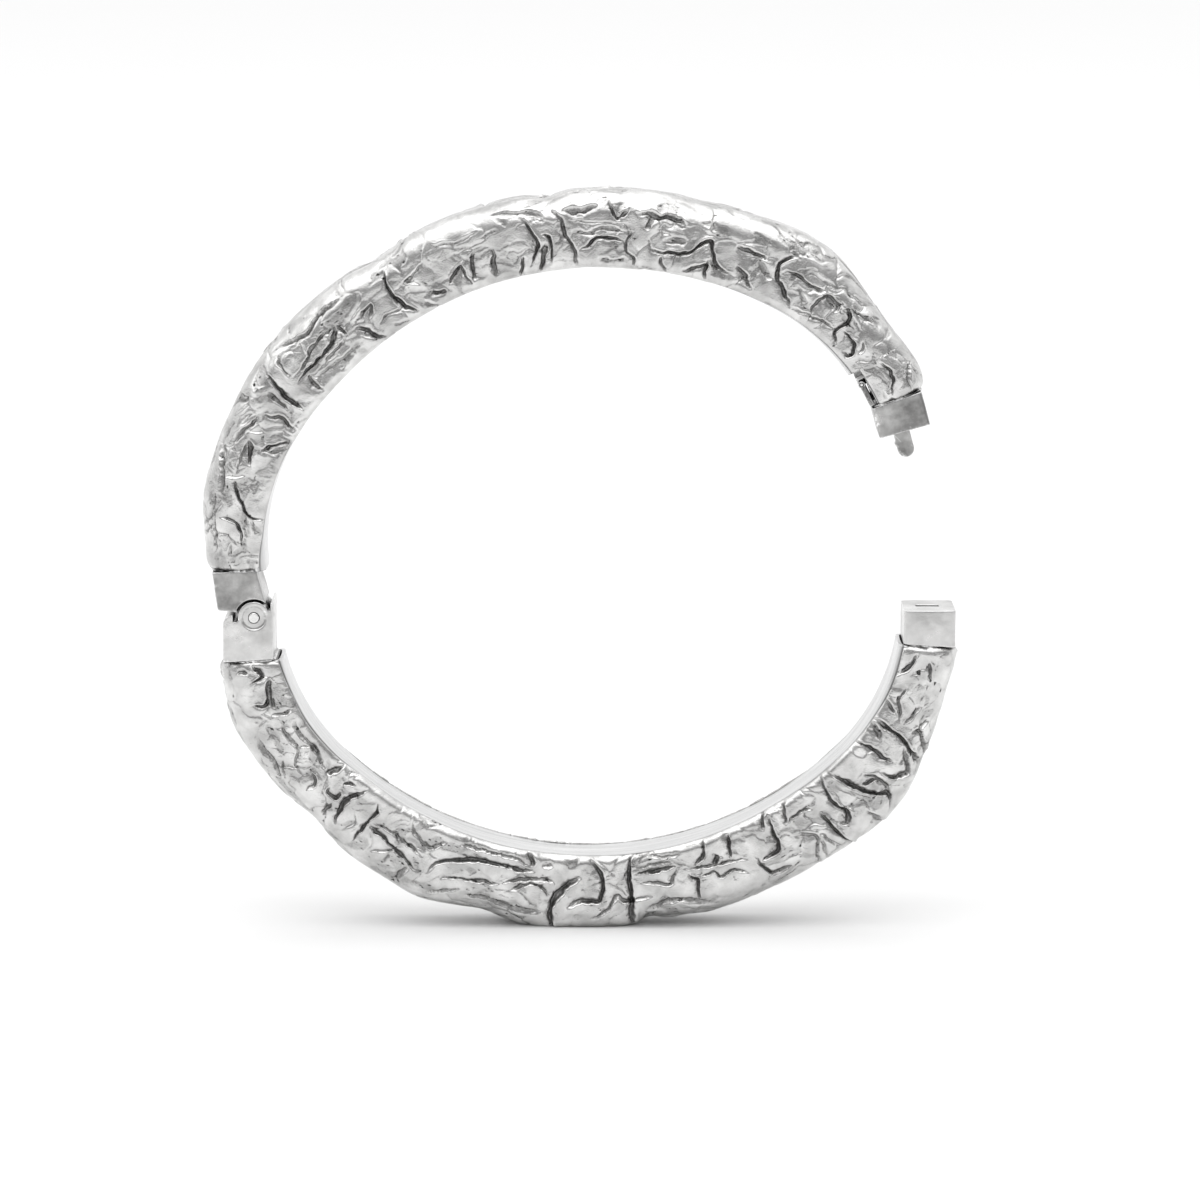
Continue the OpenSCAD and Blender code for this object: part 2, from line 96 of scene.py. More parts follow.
# Where the band is thicker or thinner: place along the half in percent, reach, and change of depth
SWELLS = {
    "lower": (-0.02, [(11, 4.5, 0.12), (22, 3.0, -0.11), (34, 2.5, 0.04), (40, 2.6, -0.07),
                      (47, 3.5, 0.04), (55.8, 1.3, -0.10), (58.5, 1.8, -0.04), (80.5, 5.2, 0.15),
                      (92, 2.8, -0.05)]),
    "upper": (-0.05, [(11.5, 4.5, 0.07), (33, 3.0, -0.02), (38.5, 3.2, -0.085), (55, 1.4, -0.07),
                      (69.5, 2.2, -0.035), (81, 5.2, 0.135), (94.5, 2.4, 0.08)]),
}

# The main creases: depth, half width, then places as percent along the half and share of the
# band's depth, from 0 at the wrist to 1 at the crown. A negative depth is a raised ridge.
CREASES = {
    "upper": [
        # by the hinge
        (0.14, 0.14, [(6.0, .60), (7.3, .545)]),
        (0.26, 0.18, [(7.0, .40), (8.2, .385), (9.2, .46), (9.55, .56), (9.8, .72)]),
        (0.16, 0.34, [(7.8, .31), (9.0, .34), (10.2, .37), (11.2, .47)]),
        (0.36, 0.19, [(9.8, .07), (9.95, .22), (10.6, .36), (11.5, .42), (12.4, .52), (13.6, .61)]),
        (0.14, 0.20, [(8.2, .14), (9.0, .20), (9.9, .22)]),
        (0.14, 0.16, [(6.0, .86), (6.6, .81), (7.8, .80), (9.2, .82), (10.6, .79)]),
        (0.16, 0.30, [(7.8, .98), (8.8, .88), (9.3, .82)]),
        (0.14, 0.22, [(9.0, .92), (10.4, .85), (12.0, .84)]),
        (0.18, 0.36, [(11.4, .78), (12.6, .74), (13.4, .76), (15.0, .86), (16.5, .93)]),
        (-0.15, 0.22, [(13.6, .74), (13.6, .62), (13.9, .45)]),
        (0.18, 0.18, [(14.2, .60), (15.5, .61), (17.6, .61)]),
        (0.32, 0.30, [(17.8, .61), (16.6, .50), (15.2, .45)]),
        (0.36, 0.30, [(16.9, .38), (18.0, .25), (18.9, .10), (19.0, .03)]),
        (0.24, 0.34, [(17.1, .28), (17.9, .12), (18.6, .03)]),
        (0.24, 0.26, [(17.0, .80), (18.0, .77), (19.3, .67), (20.4, .61)]),
        (-0.18, 0.24, [(18.4, .64), (18.5, .54), (18.8, .45)]),
        (0.26, 0.22, [(20.5, .60), (20.8, .45), (21.2, .32), (20.8, .18), (20.6, .06)]),
        (0.26, 0.34, [(22.1, .30), (22.4, .45), (22.7, .68)]),
        (0.34, 0.22, [(23.0, .12), (23.1, .38), (23.7, .62), (24.2, .82)]),
        (-0.20, 0.60, [(21.9, .76), (22.6, .84)]),
        # over the rise
        (0.36, 0.24, [(25.0, .42), (26.6, .43), (28.5, .41), (30.3, .44), (31.6, .53), (31.8, .64)]),
        (0.22, 0.22, [(25.2, .50), (27.5, .52), (28.6, .57), (31.2, .60), (31.8, .64)]),
        (0.24, 0.17, [(26.8, .91), (27.8, .84), (29.8, .77), (31.3, .83), (33.0, .85), (34.2, .81)]),
        (0.22, 0.20, [(25.2, .55), (25.6, .75), (26.1, .83)]),
        (0.26, 0.26, [(32.1, .58), (32.2, .38)]),
        (0.20, 0.24, [(28.4, .31), (30.2, .33), (32.0, .36)]),
        (0.18, 0.32, [(26.5, .27), (28.2, .22), (31.0, .18), (33.2, .19)]),
        (0.22, 0.24, [(26.4, .36), (26.0, .20), (26.2, .08)]),
        (0.42, 0.36, [(33.2, .40), (34.2, .26), (34.4, .12), (35.2, .02)]),
        (0.24, 0.28, [(33.5, .47), (34.5, .48), (36.0, .53), (35.6, .42), (34.8, .36)]),
        (0.20, 0.20, [(35.5, .23), (36.6, .28), (38.0, .25), (38.6, .26)]),
        (0.42, 0.26, [(38.8, .84), (38.5, .60), (38.5, .40), (39.0, .22), (39.9, .07)]),
        (0.18, 0.26, [(36.6, .14), (37.2, .07), (38.4, .06)]),
        (0.26, 0.30, [(40.8, .17), (41.5, .06), (42.3, .01)]),
        (-0.18, 0.24, [(39.6, .55), (40.6, .47), (41.4, .38)]),
        (0.18, 0.20, [(38.7, .52), (40.2, .53), (41.6, .58), (42.9, .64)]),
        (0.36, 0.34, [(41.9, .22), (42.6, .17), (43.5, .13)]),
        (0.28, 0.20, [(44.0, .22), (45.0, .32), (45.9, .38), (46.0, .22), (46.4, .06)]),
        (0.28, 0.36, [(46.7, .12), (46.9, .32), (47.6, .52)]),
        (0.28, 0.36, [(48.9, .06), (49.2, .25), (49.6, .47)]),
        (0.14, 0.16, [(44.0, .78), (45.4, .72), (46.6, .68), (48.6, .74)]),
        # over the top
        (0.16, 0.22, [(49.8, .88), (52.0, .85), (54.4, .82), (55.0, .66)]),
        (0.30, 0.26, [(51.5, .01), (52.0, .12), (52.4, .27)]),
        (0.34, 0.20, [(53.1, .77), (53.6, .60), (54.1, .38), (53.5, .20), (52.8, .09)]),
        (0.40, 0.17, [(54.5, .53), (55.2, .51), (55.5, .40), (55.4, .12)]),
        (0.34, 0.38, [(55.0, .42), (54.6, .25), (53.9, .01)]),
        (0.32, 0.30, [(55.7, .84), (56.6, .68), (56.8, .55), (57.2, .40), (57.8, .27), (57.9, .02)]),
        (0.30, 0.46, [(56.8, .78), (58.5, .75), (60.2, .82)]),
        (0.16, 0.15, [(57.2, .65), (58.5, .63), (60.2, .60), (63.0, .585)]),
        (0.22, 0.34, [(57.2, .50), (59.4, .46), (60.4, .52), (63.8, .48)]),
        (0.34, 0.18, [(58.2, .25), (59.2, .30), (60.4, .41), (62.0, .39), (63.1, .35)]),
        (0.28, 0.18, [(63.7, .50), (63.2, .34), (63.2, .22), (64.2, .14), (64.4, .02)]),
        (0.20, 0.28, [(60.2, .12), (61.6, .09), (63.4, .12)]),
        (0.28, 0.26, [(61.2, .87), (61.8, .69), (62.4, .67), (63.3, .79)]),
        (0.34, 0.30, [(63.7, .72), (65.0, .75), (66.0, .71), (67.0, .75), (68.9, .69)]),
        (0.26, 0.30, [(65.5, .72), (65.1, .52)]),
        (0.38, 0.22, [(65.3, .42), (65.8, .30), (66.6, .26), (68.0, .29), (69.6, .33), (70.4, .45),
                      (71.3, .56), (72.0, .45), (72.8, .27), (73.9, .20), (75.2, .19)]),
        (0.26, 0.42, [(66.8, .42), (68.0, .45), (69.4, .47)]),
        (0.30, 0.24, [(67.0, .20), (67.3, .10), (68.0, .02)]),
        (0.32, 0.24, [(69.5, .06), (71.0, .16), (72.3, .24)]),
        (0.32, 0.34, [(71.9, .30), (72.1, .10), (72.4, .03)]),
        (-0.16, 0.26, [(70.6, .96), (71.2, .66)]),
        # down to the clasp
        (0.30, 0.24, [(74.0, .58), (76.2, .56), (77.3, .54)]),
        (0.22, 0.46, [(76.6, .50), (77.6, .40), (78.7, .34)]),
        (0.32, 0.22, [(74.8, .33), (76.0, .25), (77.3, .11)]),
        (0.36, 0.24, [(79.7, .74), (78.8, .62), (78.6, .50), (79.2, .38), (80.0, .32), (80.6, .25),
                      (81.4, .20), (82.0, .12)]),
        (0.28, 0.26, [(79.0, .47), (80.0, .53), (82.0, .52), (83.6, .58)]),
        (0.20, 0.34, [(81.3, .43), (82.4, .35), (83.1, .29)]),
        (0.20, 0.20, [(82.0, .15), (84.0, .20), (87.4, .34)]),
        (0.24, 0.24, [(84.4, .14), (83.8, .35), (84.0, .55), (84.8, .60), (85.8, .55), (85.7, .45)]),
        (0.34, 0.18, [(86.2, .58), (86.5, .66), (87.0, .62), (87.5, .50), (87.3, .34), (87.6, .24),
                      (88.5, .16)]),
        (0.20, 0.22, [(86.5, .70), (87.5, .74), (88.4, .82), (89.1, .87)]),
        (0.34, 0.18, [(87.6, .40), (89.4, .39), (90.0, .34), (90.4, .25), (90.1, .18), (89.4, .17)]),
        (0.20, 0.22, [(89.9, .54), (90.5, .45), (90.6, .36)]),
        (0.30, 0.18, [(92.5, .53), (93.6, .60), (94.4, .59), (95.3, .52), (96.1, .44)]),
        (0.18, 0.15, [(94.0, .92), (94.9, .81), (95.8, .79), (96.5, .80)]),
        (0.16, 0.14, [(93.1, .31), (93.3, .19), (93.6, .16)]),
    ],
    "lower": [
        # under the hinge
        (0.36, 0.18, [(5.5, .50), (6.0, .48), (6.4, .40), (6.9, .40), (7.3, .58)]),
        (0.22, 0.16, [(6.0, .77), (6.2, .58)]),
        (0.32, 0.20, [(7.0, .27), (8.0, .34), (9.3, .40), (9.9, .48), (9.3, .64)]),
        (0.24, 0.15, [(7.4, .28), (9.0, .33), (10.0, .355), (10.6, .31)]),
        (0.20, 0.20, [(11.0, .44), (11.4, .25), (11.1, .11)]),
        (0.18, 0.26, [(12.3, .12), (12.8, .20), (13.8, .21), (16.0, .18), (17.8, .20)]),
        (0.16, 0.26, [(12.3, .46), (13.0, .38), (15.2, .37), (16.0, .48), (16.6, .56), (18.2, .56)]),
        (0.20, 0.22, [(15.3, .35), (15.7, .22), (16.4, .19), (17.6, .23), (18.8, .29)]),
        (0.22, 0.20, [(19.3, .70), (19.2, .52), (18.2, .45)]),
        (0.32, 0.40, [(19.2, .33), (19.6, .18), (19.8, .05)]),
        (0.28, 0.26, [(20.5, .43), (20.9, .52), (21.9, .50), (21.6, .38)]),
        (0.30, 0.18, [(21.1, .26), (22.3, .14)]),
        (0.42, 0.30, [(23.6, .80), (23.0, .62), (22.8, .45), (22.9, .35), (23.4, .20), (23.6, .10)]),
        (0.20, 0.36, [(12.2, .75), (13.5, .78), (15.2, .76), (17.1, .87)]),
        (0.18, 0.15, [(15.5, .66), (16.4, .74), (17.1, .81)]),
        (0.22, 0.44, [(21.7, .63), (22.1, .86)]),
        # down to the flat
        (0.34, 0.20, [(26.0, .80), (25.9, .60), (25.9, .40), (26.1, .26), (25.3, .13)]),
        (0.32, 0.20, [(25.9, .46), (28.2, .51), (30.3, .58), (32.8, .67)]),
        (0.22, 0.26, [(26.2, .41), (28.0, .38), (30.0, .40), (32.6, .46)]),
        (0.16, 0.18, [(27.8, .76), (28.9, .66), (30.0, .58)]),
        (0.20, 0.24, [(29.3, .05), (30.2, .20), (31.2, .27), (32.8, .33), (33.4, .24), (34.4, .13)]),
        (0.24, 0.30, [(31.3, .95), (31.5, .78), (31.9, .66)]),
        (0.40, 0.24, [(33.6, .65), (34.0, .50), (34.9, .40), (36.5, .33), (37.8, .27), (40.0, .26),
                      (42.4, .26), (44.4, .24)]),
        (0.26, 0.17, [(35.0, .62), (37.5, .57), (40.9, .525)]),
        (0.28, 0.20, [(35.2, .15), (37.0, .12), (40.0, .12), (42.0, .13), (43.6, .20)]),
        (0.24, 0.20, [(41.0, .52), (42.2, .42), (43.6, .36), (45.2, .33), (46.6, .37)]),
        (0.26, 0.22, [(42.0, .57), (43.2, .45), (44.6, .41), (45.9, .53)]),
        (0.18, 0.18, [(34.1, .86), (35.5, .80), (37.5, .70)]),
        (0.20, 0.30, [(37.5, .80), (40.0, .77), (43.0, .79), (45.9, .75)]),
        (0.30, 0.28, [(43.7, .20), (43.7, .10), (43.1, .01)]),
        (0.48, 0.34, [(46.8, .97), (46.3, .78), (46.4, .60), (46.9, .48), (48.2, .34), (49.2, .26)]),
        (0.18, 0.24, [(44.8, .16), (46.1, .13)]),
        # the flat
        (0.42, 0.28, [(47.9, .67), (48.6, .60), (49.4, .575), (50.8, .60), (51.4, .50), (51.5, .30),
                      (50.8, .14), (50.0, .03)]),
        (0.26, 0.24, [(49.8, .84), (51.8, .72), (52.4, .60), (52.9, .54), (53.6, .62), (56.5, .64)]),
        (0.46, 0.30, [(54.0, .97), (54.1, .75), (54.3, .50), (54.3, .25), (54.5, .10), (55.1, .01)]),
        (0.24, 0.22, [(55.2, .42), (57.0, .45), (58.3, .51), (58.8, .42), (59.7, .26)]),
        (0.32, 0.17, [(54.9, .275), (57.5, .28), (59.5, .25)]),
        (0.20, 0.18, [(55.2, .20), (57.5, .185), (59.2, .20)]),
        (0.20, 0.20, [(56.5, .05), (58.4, .11), (60.2, .10)]),
        (0.24, 0.34, [(55.4, .86), (57.5, .73), (59.4, .74), (61.8, .86)]),
        (0.34, 0.24, [(60.6, .78), (61.0, .58), (61.2, .50), (60.3, .41)]),
        (0.24, 0.20, [(61.2, .50), (62.8, .47), (63.4, .56), (64.8, .54), (66.2, .64)]),
        (0.22, 0.20, [(59.9, .32), (62.0, .37), (64.0, .40), (66.8, .455)]),
        (0.30, 0.24, [(61.1, .31), (62.6, .22), (63.0, .03)]),
        (0.36, 0.26, [(63.2, .38), (64.1, .27)]),
        (0.34, 0.24, [(65.1, .37), (65.6, .20), (65.9, .05)]),
        (0.30, 0.20, [(67.4, .46), (67.8, .70), (68.4, .78), (70.2, .80)]),
        (0.42, 0.24, [(67.9, .55), (69.6, .55), (70.2, .45), (70.5, .25), (70.9, .07)]),
        (0.34, 0.40, [(69.6, .21), (70.1, .07), (70.9, .01)]),
        # up to the clasp
        (0.20, 0.26, [(72.0, 1.0), (72.8, .82), (73.7, .65), (72.8, .53), (71.7, .45)]),
        (0.18, 0.28, [(72.9, 1.0), (73.8, .75), (74.3, .67), (74.8, .97)]),
        (0.26, 0.24, [(71.9, .29), (72.9, .09), (73.5, .04)]),
        (0.26, 0.20, [(72.0, .27), (74.0, .25), (75.2, .30)]),
        (0.42, 0.24, [(75.8, 1.0), (75.5, .70), (75.5, .38)]),
        (0.34, 0.22, [(76.2, .60), (76.8, .70), (77.7, .56), (77.3, .42), (77.4, .25), (78.5, .02)]),
        (0.22, 0.36, [(79.0, 1.0), (79.0, .70)]),
        (0.42, 0.26, [(79.4, .11), (79.7, .30), (80.1, .52), (80.8, .68), (81.4, .78), (80.2, .92)]),
        (-0.24, 0.26, [(79.1, .12), (79.5, .42), (80.2, .66)]),
        (0.26, 0.20, [(81.7, .76), (82.1, .55), (81.5, .36)]),
        (0.30, 0.20, [(80.5, .45), (81.9, .55)]),
        (0.34, 0.28, [(82.7, .52), (82.8, .70), (83.4, .77), (84.2, .85), (85.4, .72), (86.1, .64)]),
        (0.34, 0.30, [(84.2, .62), (84.1, .40), (84.3, .28), (84.0, .03)]),
        (0.46, 0.28, [(85.2, .97), (86.0, .76), (86.6, .62), (86.9, .45), (87.1, .20), (87.3, .03)]),
        (0.30, 0.42, [(85.5, .31), (86.3, .15), (86.9, .03)]),
        (0.28, 0.22, [(86.0, 1.0), (87.2, .90), (88.1, .75), (87.5, .63)]),
        (0.22, 0.20, [(88.0, .74), (89.3, .82)]),
        (0.20, 0.22, [(88.0, .52), (89.2, .58), (90.4, .65)]),
        (0.24, 0.22, [(88.0, .43), (89.2, .36), (90.4, .28), (91.8, .34)]),
        (0.26, 0.24, [(88.7, .31), (89.4, .15), (90.1, .05)]),
        (0.30, 0.34, [(93.2, .47), (93.9, .44)]),
        (0.24, 0.20, [(93.0, .68), (94.9, .58)]),
        (0.30, 0.24, [(92.5, .01), (93.2, .15), (94.4, .30), (95.5, .34)]),
    ],
}


# ------------ noise and curves
NOISE_SIZE = 256


def lattice(u, v, seed):
    """Smooth noise between -1 and 1 at the places (u, v), one lattice step to a unit."""
    table = np.random.RandomState(seed).uniform(-1, 1, (NOISE_SIZE, NOISE_SIZE))
    iu, iv = np.floor(u).astype(int), np.floor(v).astype(int)
    fu, fv = u - iu, v - iv
    fu, fv = fu * fu * (3 - 2 * fu), fv * fv * (3 - 2 * fv)
    iu, iv = iu % NOISE_SIZE, iv % NOISE_SIZE
    ju, jv = (iu + 1) % NOISE_SIZE, (iv + 1) % NOISE_SIZE
    low = table[iu, iv] * (1 - fu) + table[ju, iv] * fu
    high = table[iu, jv] * (1 - fu) + table[ju, jv] * fu
    return low * (1 - fv) + high * fv


def layers(u, v, seed, count):
    """Several sizes of lattice noise, each half as large and half as strong as the last."""
    total = np.zeros_like(u)
    for k in range(count):
        total += lattice(u * 2 ** k + 17.3 * k, v * 2 ** k - 9.1 * k, seed + k) / 2 ** k
    return total


def plates(u, v, step, seed):
    """Cells of a jittered grid: how near a cell's border is, and a random lean of each cell."""
    rng = np.random.RandomState(seed)
    jitter = rng.uniform(0.08, 0.92, (2, NOISE_SIZE, NOISE_SIZE))
    leans = rng.uniform(-1, 1, (3, NOISE_SIZE, NOISE_SIZE))
    gu, gv = u / step[0], v / step[1]
    iu, iv = np.floor(gu).astype(int), np.floor(gv).astype(int)
    first = np.full(u.shape, 1e9)
    second = np.full(u.shape, 1e9)
    lean = np.zeros(u.shape)
    for du in (-1, 0, 1):
        for dv in (-1, 0, 1):
            ku, kv = (iu + du) % NOISE_SIZE, (iv + dv) % NOISE_SIZE
            ou = (iu + du + jitter[0, ku, kv] - gu) * step[0]
            ov = (iv + dv + jitter[1, ku, kv] - gv) * step[1]
            far = np.hypot(ou, ov)
            value = (leans[0, ku, kv] * 0.4 + leans[1, ku, kv] * ou / step[0]
                     + leans[2, ku, kv] * ov / step[1])
            nearer = far < first
            second = np.where(nearer, first, np.minimum(second, far))
            lean = np.where(nearer, value, lean)
            first = np.where(nearer, far, first)
    return second - first, lean


def smooth_path(points, steps=6):
    """A curve through the given places, as a polyline."""
    p = np.array(points, float)
    if len(p) < 3:
        return p
    p = np.vstack([2 * p[0] - p[1], p, 2 * p[-1] - p[-2]])
    out = []
    for a, b, c, d in zip(p, p[1:], p[2:], p[3:]):
        for k in range(steps):
            t = k / steps
            out.append(0.5 * (2 * b + (c - a) * t + (2 * a - 5 * b + 4 * c - d) * t ** 2
                              + (3 * b - a - 3 * c + d) * t ** 3))
    out.append(p[-2])
    return np.array(out)


def carve(height, tarnish_and_shade, s, v, path, depth, width):
    """Presses one crease into the height map: a groove with a raised lip, higher on one side. The
    map of dark marks gets its two dark edges, painted shade along the groove's walls, and a grey
    floor of tarnish."""
    reach = 6 * width
    low, high = path.min(0) - reach, path.max(0) + reach
    near = (s > low[0]) & (s < high[0]) & (v > low[1]) & (v < high[1])
    if not near.any():
        return
    ps, pv = s[near], v[near]
    seg = np.diff(path, axis=0)
    length = np.hypot(seg[:, 0], seg[:, 1])
    start = np.concatenate([[0], np.cumsum(length)[:-1]])
    best = np.full(ps.shape, 1e9)
    side = np.zeros(ps.shape)
    along = np.zeros(ps.shape)
    for a, d, n, begun in zip(path, seg, length, start):
        if n < 1e-6:
            continue
        t = np.clip(((ps - a[0]) * d[0] + (pv - a[1]) * d[1]) / n ** 2, 0, 1)
        ou, ov = ps - a[0] - t * d[0], pv - a[1] - t * d[1]
        far = np.hypot(ou, ov)
        nearer = far < best
        best = np.where(nearer, far, best)
        side = np.where(nearer, np.sign(d[0] * ov - d[1] * ou), side)
        along = np.where(nearer, (begun + t * n) / length.sum(), along)
    taper = 1 - np.abs(2 * along - 1) ** 4
    seed = int(path[0, 0] * 97) % 997
    ripple = lattice(along * length.sum() / 0.9, along * 0 + 2.3, seed)
    uneven = width * (0.72 + 0.42 * ripple)
    uneven = np.maximum(uneven * (0.45 + 0.55 * taper), 0.05)
    x = side * best / uneven
    floor = 1 / (1 + np.exp((np.abs(x) - 0.85) / 0.16))
    flank = 0.30 * np.exp(-((x + 1.3) / 1.3) ** 2)
    lip = 0.34 * np.exp(-((x - 1.9) / 0.8) ** 2)
    step = 0.30 * np.tanh(x / 0.7) * np.exp(-(x / 4.5) ** 2)
    height[near] += depth * taper * (lip + step - 0.85 * floor - flank)
    if depth > 0:
        strength = min(1.0, depth / 0.36)
        # The two dark edges are painted shade: the stronger on the groove's shadowed side, the
        # weaker on the other
        edge = np.exp(-((side * best + 0.75 * uneven) / 0.055) ** 2)
        other = 0.55 * np.exp(-((side * best - 0.80 * uneven) / 0.045) ** 2)
        mark = taper * strength * np.maximum(np.maximum(edge, other), 0.42 * floor)
        tarnish_and_shade[near] = np.maximum(tarnish_and_shade[near], mark)


# ------------ the band's shape
def arcs(size):
    """Of half an oval: the large arc's radius, each end arc's turn, and the lengths of both."""
    a, b, r = size
    big = ((a - r) ** 2 + b * b - r * r) / (2 * (b - r))
    turn = math.atan2(big - b, a - r)
    return big, turn, r * turn, big * (math.pi - 2 * turn)


def oval(size, f):
    """X and Z of an oval's lower half, at the shares f of its length from hinge to clasp."""
    a, b, r = size
    big, turn, end, mid = arcs(size)
    s = f * (2 * end + mid)
    first, last = s < end, s > end + mid
    angle = np.where(first, math.pi + s / r,
                     np.where(last, 2 * math.pi - turn + (s - end - mid) / r,
                              math.pi + turn + (s - end) / big))
    cx = np.where(first, r - a, np.where(last, a - r, 0.0))
    cz = np.where(first | last, 0.0, big - b)
    radius = np.where(first | last, r, big)
    return cx + radius * np.cos(angle), cz + radius * np.sin(angle)


def oval_length(size):
    _, _, end, mid = arcs(size)
    return 2 * end + mid


def spoke(f):
    """Across the band at the shares f: the inner oval's X and Z, the way outwards, the depth."""
    xi, zi = oval(INNER_OVAL, f)
    xo, zo = oval(OUTER_OVAL, f)
    size = np.hypot(xo - xi, zo - zi)
    return xi, zi, (xo - xi) / size, (zo - zi) / size, size


# Length of a half, at the middle of the band's depth
HALF_LENGTH = (oval_length(INNER_OVAL) + oval_length(OUTER_OVAL)) / 2


def swell(half, f):
    """The band's depth at the shares f, over the depth between the two ovals."""
    base, bumps = SWELLS[half]
    return 1 + base + sum(h * np.exp(-((100 * f - at) / reach) ** 2) for at, reach, h in bumps)


def seam_share(half, end, t):
    """Share of the half's length at which a seam lies, at the share t of the band's depth."""
    h, tilt = SEAMS[half][end]
    f = np.linspace(0, 0.12, 400)
    if end == "clasp":
        f = 1 - f
    xi, zi = oval(INNER_OVAL, f)
    xo, zo = oval(OUTER_OVAL, f)
    x, z = xi + (xo - xi) * t, zi + (zo - zi) * t
    past = -z - (h + (np.abs(x) - BLOCK_IN) * math.tan(math.radians(tilt)))
    order = np.argsort(past)
    return np.interp(0.0, past[order], f[order])


def skin(half, depth, q, start):
    """Outline of the band's section at the shares q of its way from one lip over the crown to the
    other: distance along Y, depth from the wrist side, and way from the outline's inner middle."""
    way = [0, FLAT, CORNER_R * math.pi / 2, 0, CROWN_R * math.pi / 2, HALF_W - CROWN_R]
    wall = depth - CORNER_R - CROWN_R
    edges = np.cumsum(np.array([np.full_like(depth, w) for w in way]), 0)
    edges[3:] += wall
    total = edges[5]
    g = np.abs(1 - 2 * q)
    along = start + (total - start) * (1 - g)
    one = np.clip((along - edges[1]) / CORNER_R, 0, math.pi / 2)
    two = np.clip((along - edges[3]) / CROWN_R, 0, math.pi / 2)
    y = (np.minimum(along, edges[1]) + CORNER_R * np.sin(one) - CROWN_R * (1 - np.cos(two))
         - np.maximum(along - edges[4], 0))
    d = CORNER_R * (1 - np.cos(one)) + np.clip(along - edges[2], 0, wall) + CROWN_R * np.sin(two)
    return np.where(q < 0.5, -y, y), d, along


def way_at(depth, t):
    """Way along the skin, from its inner middle, at the share t of the depth."""
    d = min(t, 0.999) * depth
    if d < CORNER_R:
        return FLAT + CORNER_R * math.acos(1 - d / CORNER_R)
    if d < depth - CROWN_R:
        return FLAT + CORNER_R * math.pi / 2 + d - CORNER_R
    return (FLAT + CORNER_R * math.pi / 2 + depth - CORNER_R - CROWN_R
            + CROWN_R * math.asin(min(1.0, (d - depth + CROWN_R) / CROWN_R)))


def band_depth(half, f):
    return spoke(f)[4] * swell(half, f)


def lip_start(half, f):
    """Way along the skin at which the crumpled sheet's lip lies, from the inner middle."""
    ends = np.exp(-(f / 0.16) ** 2) + np.exp(-((1 - f) / 0.2) ** 2)
    start = HALF_W - CORNER_R + 0.18 + 0.85 * ends
    start = start + 0.16 * lattice(f * 22, f * 0 + 3.1, 41 if half == "upper" else 42)
    return start + lever_gap(half, f) * 0.75


def lever_gap(half, f):
    """One where the latch lever's housing takes the lining's place, else nought."""
    if half == "lower":
        return f * 0
    _, z = oval(INNER_OVAL, f)
    return ((f > 0.5) & (-z < LEVER_TOP)).astype(float)


def turned(x, z, angle):
    """Turns points about the hinge pin. A positive angle opens the bangle."""
    dx, dz = x - PIVOT_X, z - PIVOT_Z
    return (PIVOT_X + dx * math.cos(angle) - dz * math.sin(angle),
            PIVOT_Z + dx * math.sin(angle) + dz * math.cos(angle))


# Height above the parting plane, when closed, at which the gap for the lever's housing ends
HOUSING_LOW, HOUSING_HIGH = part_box("lever_housing")
LEVER_TOP = turned(HOUSING_LOW.x / MM, HOUSING_HIGH.z / MM, -OPEN)[1] - PART_Z - 0.15


def place(half, x, z):
    """Puts points of a closed lower half-oval where their half lies at rest."""
    if half == "lower":
        return x, PART_Z + z
    return turned(x, PART_Z - z, OPEN)


def blur(field, size):
    """Box blur of a grid, run twice, size points each way."""
    for axis, n in ((0, size[0]), (1, size[1])):
        for _ in (0, 1):
            pad = [(0, 0), (0, 0)]
            pad[axis] = (n, n)
            wide = np.cumsum(np.pad(field, pad, mode="edge"), axis=axis)
            if axis == 0:
                field = (wide[2 * n:] - wide[:-2 * n]) / (2 * n)
            else:
                field = (wide[:, 2 * n:] - wide[:, :-2 * n]) / (2 * n)
    return field


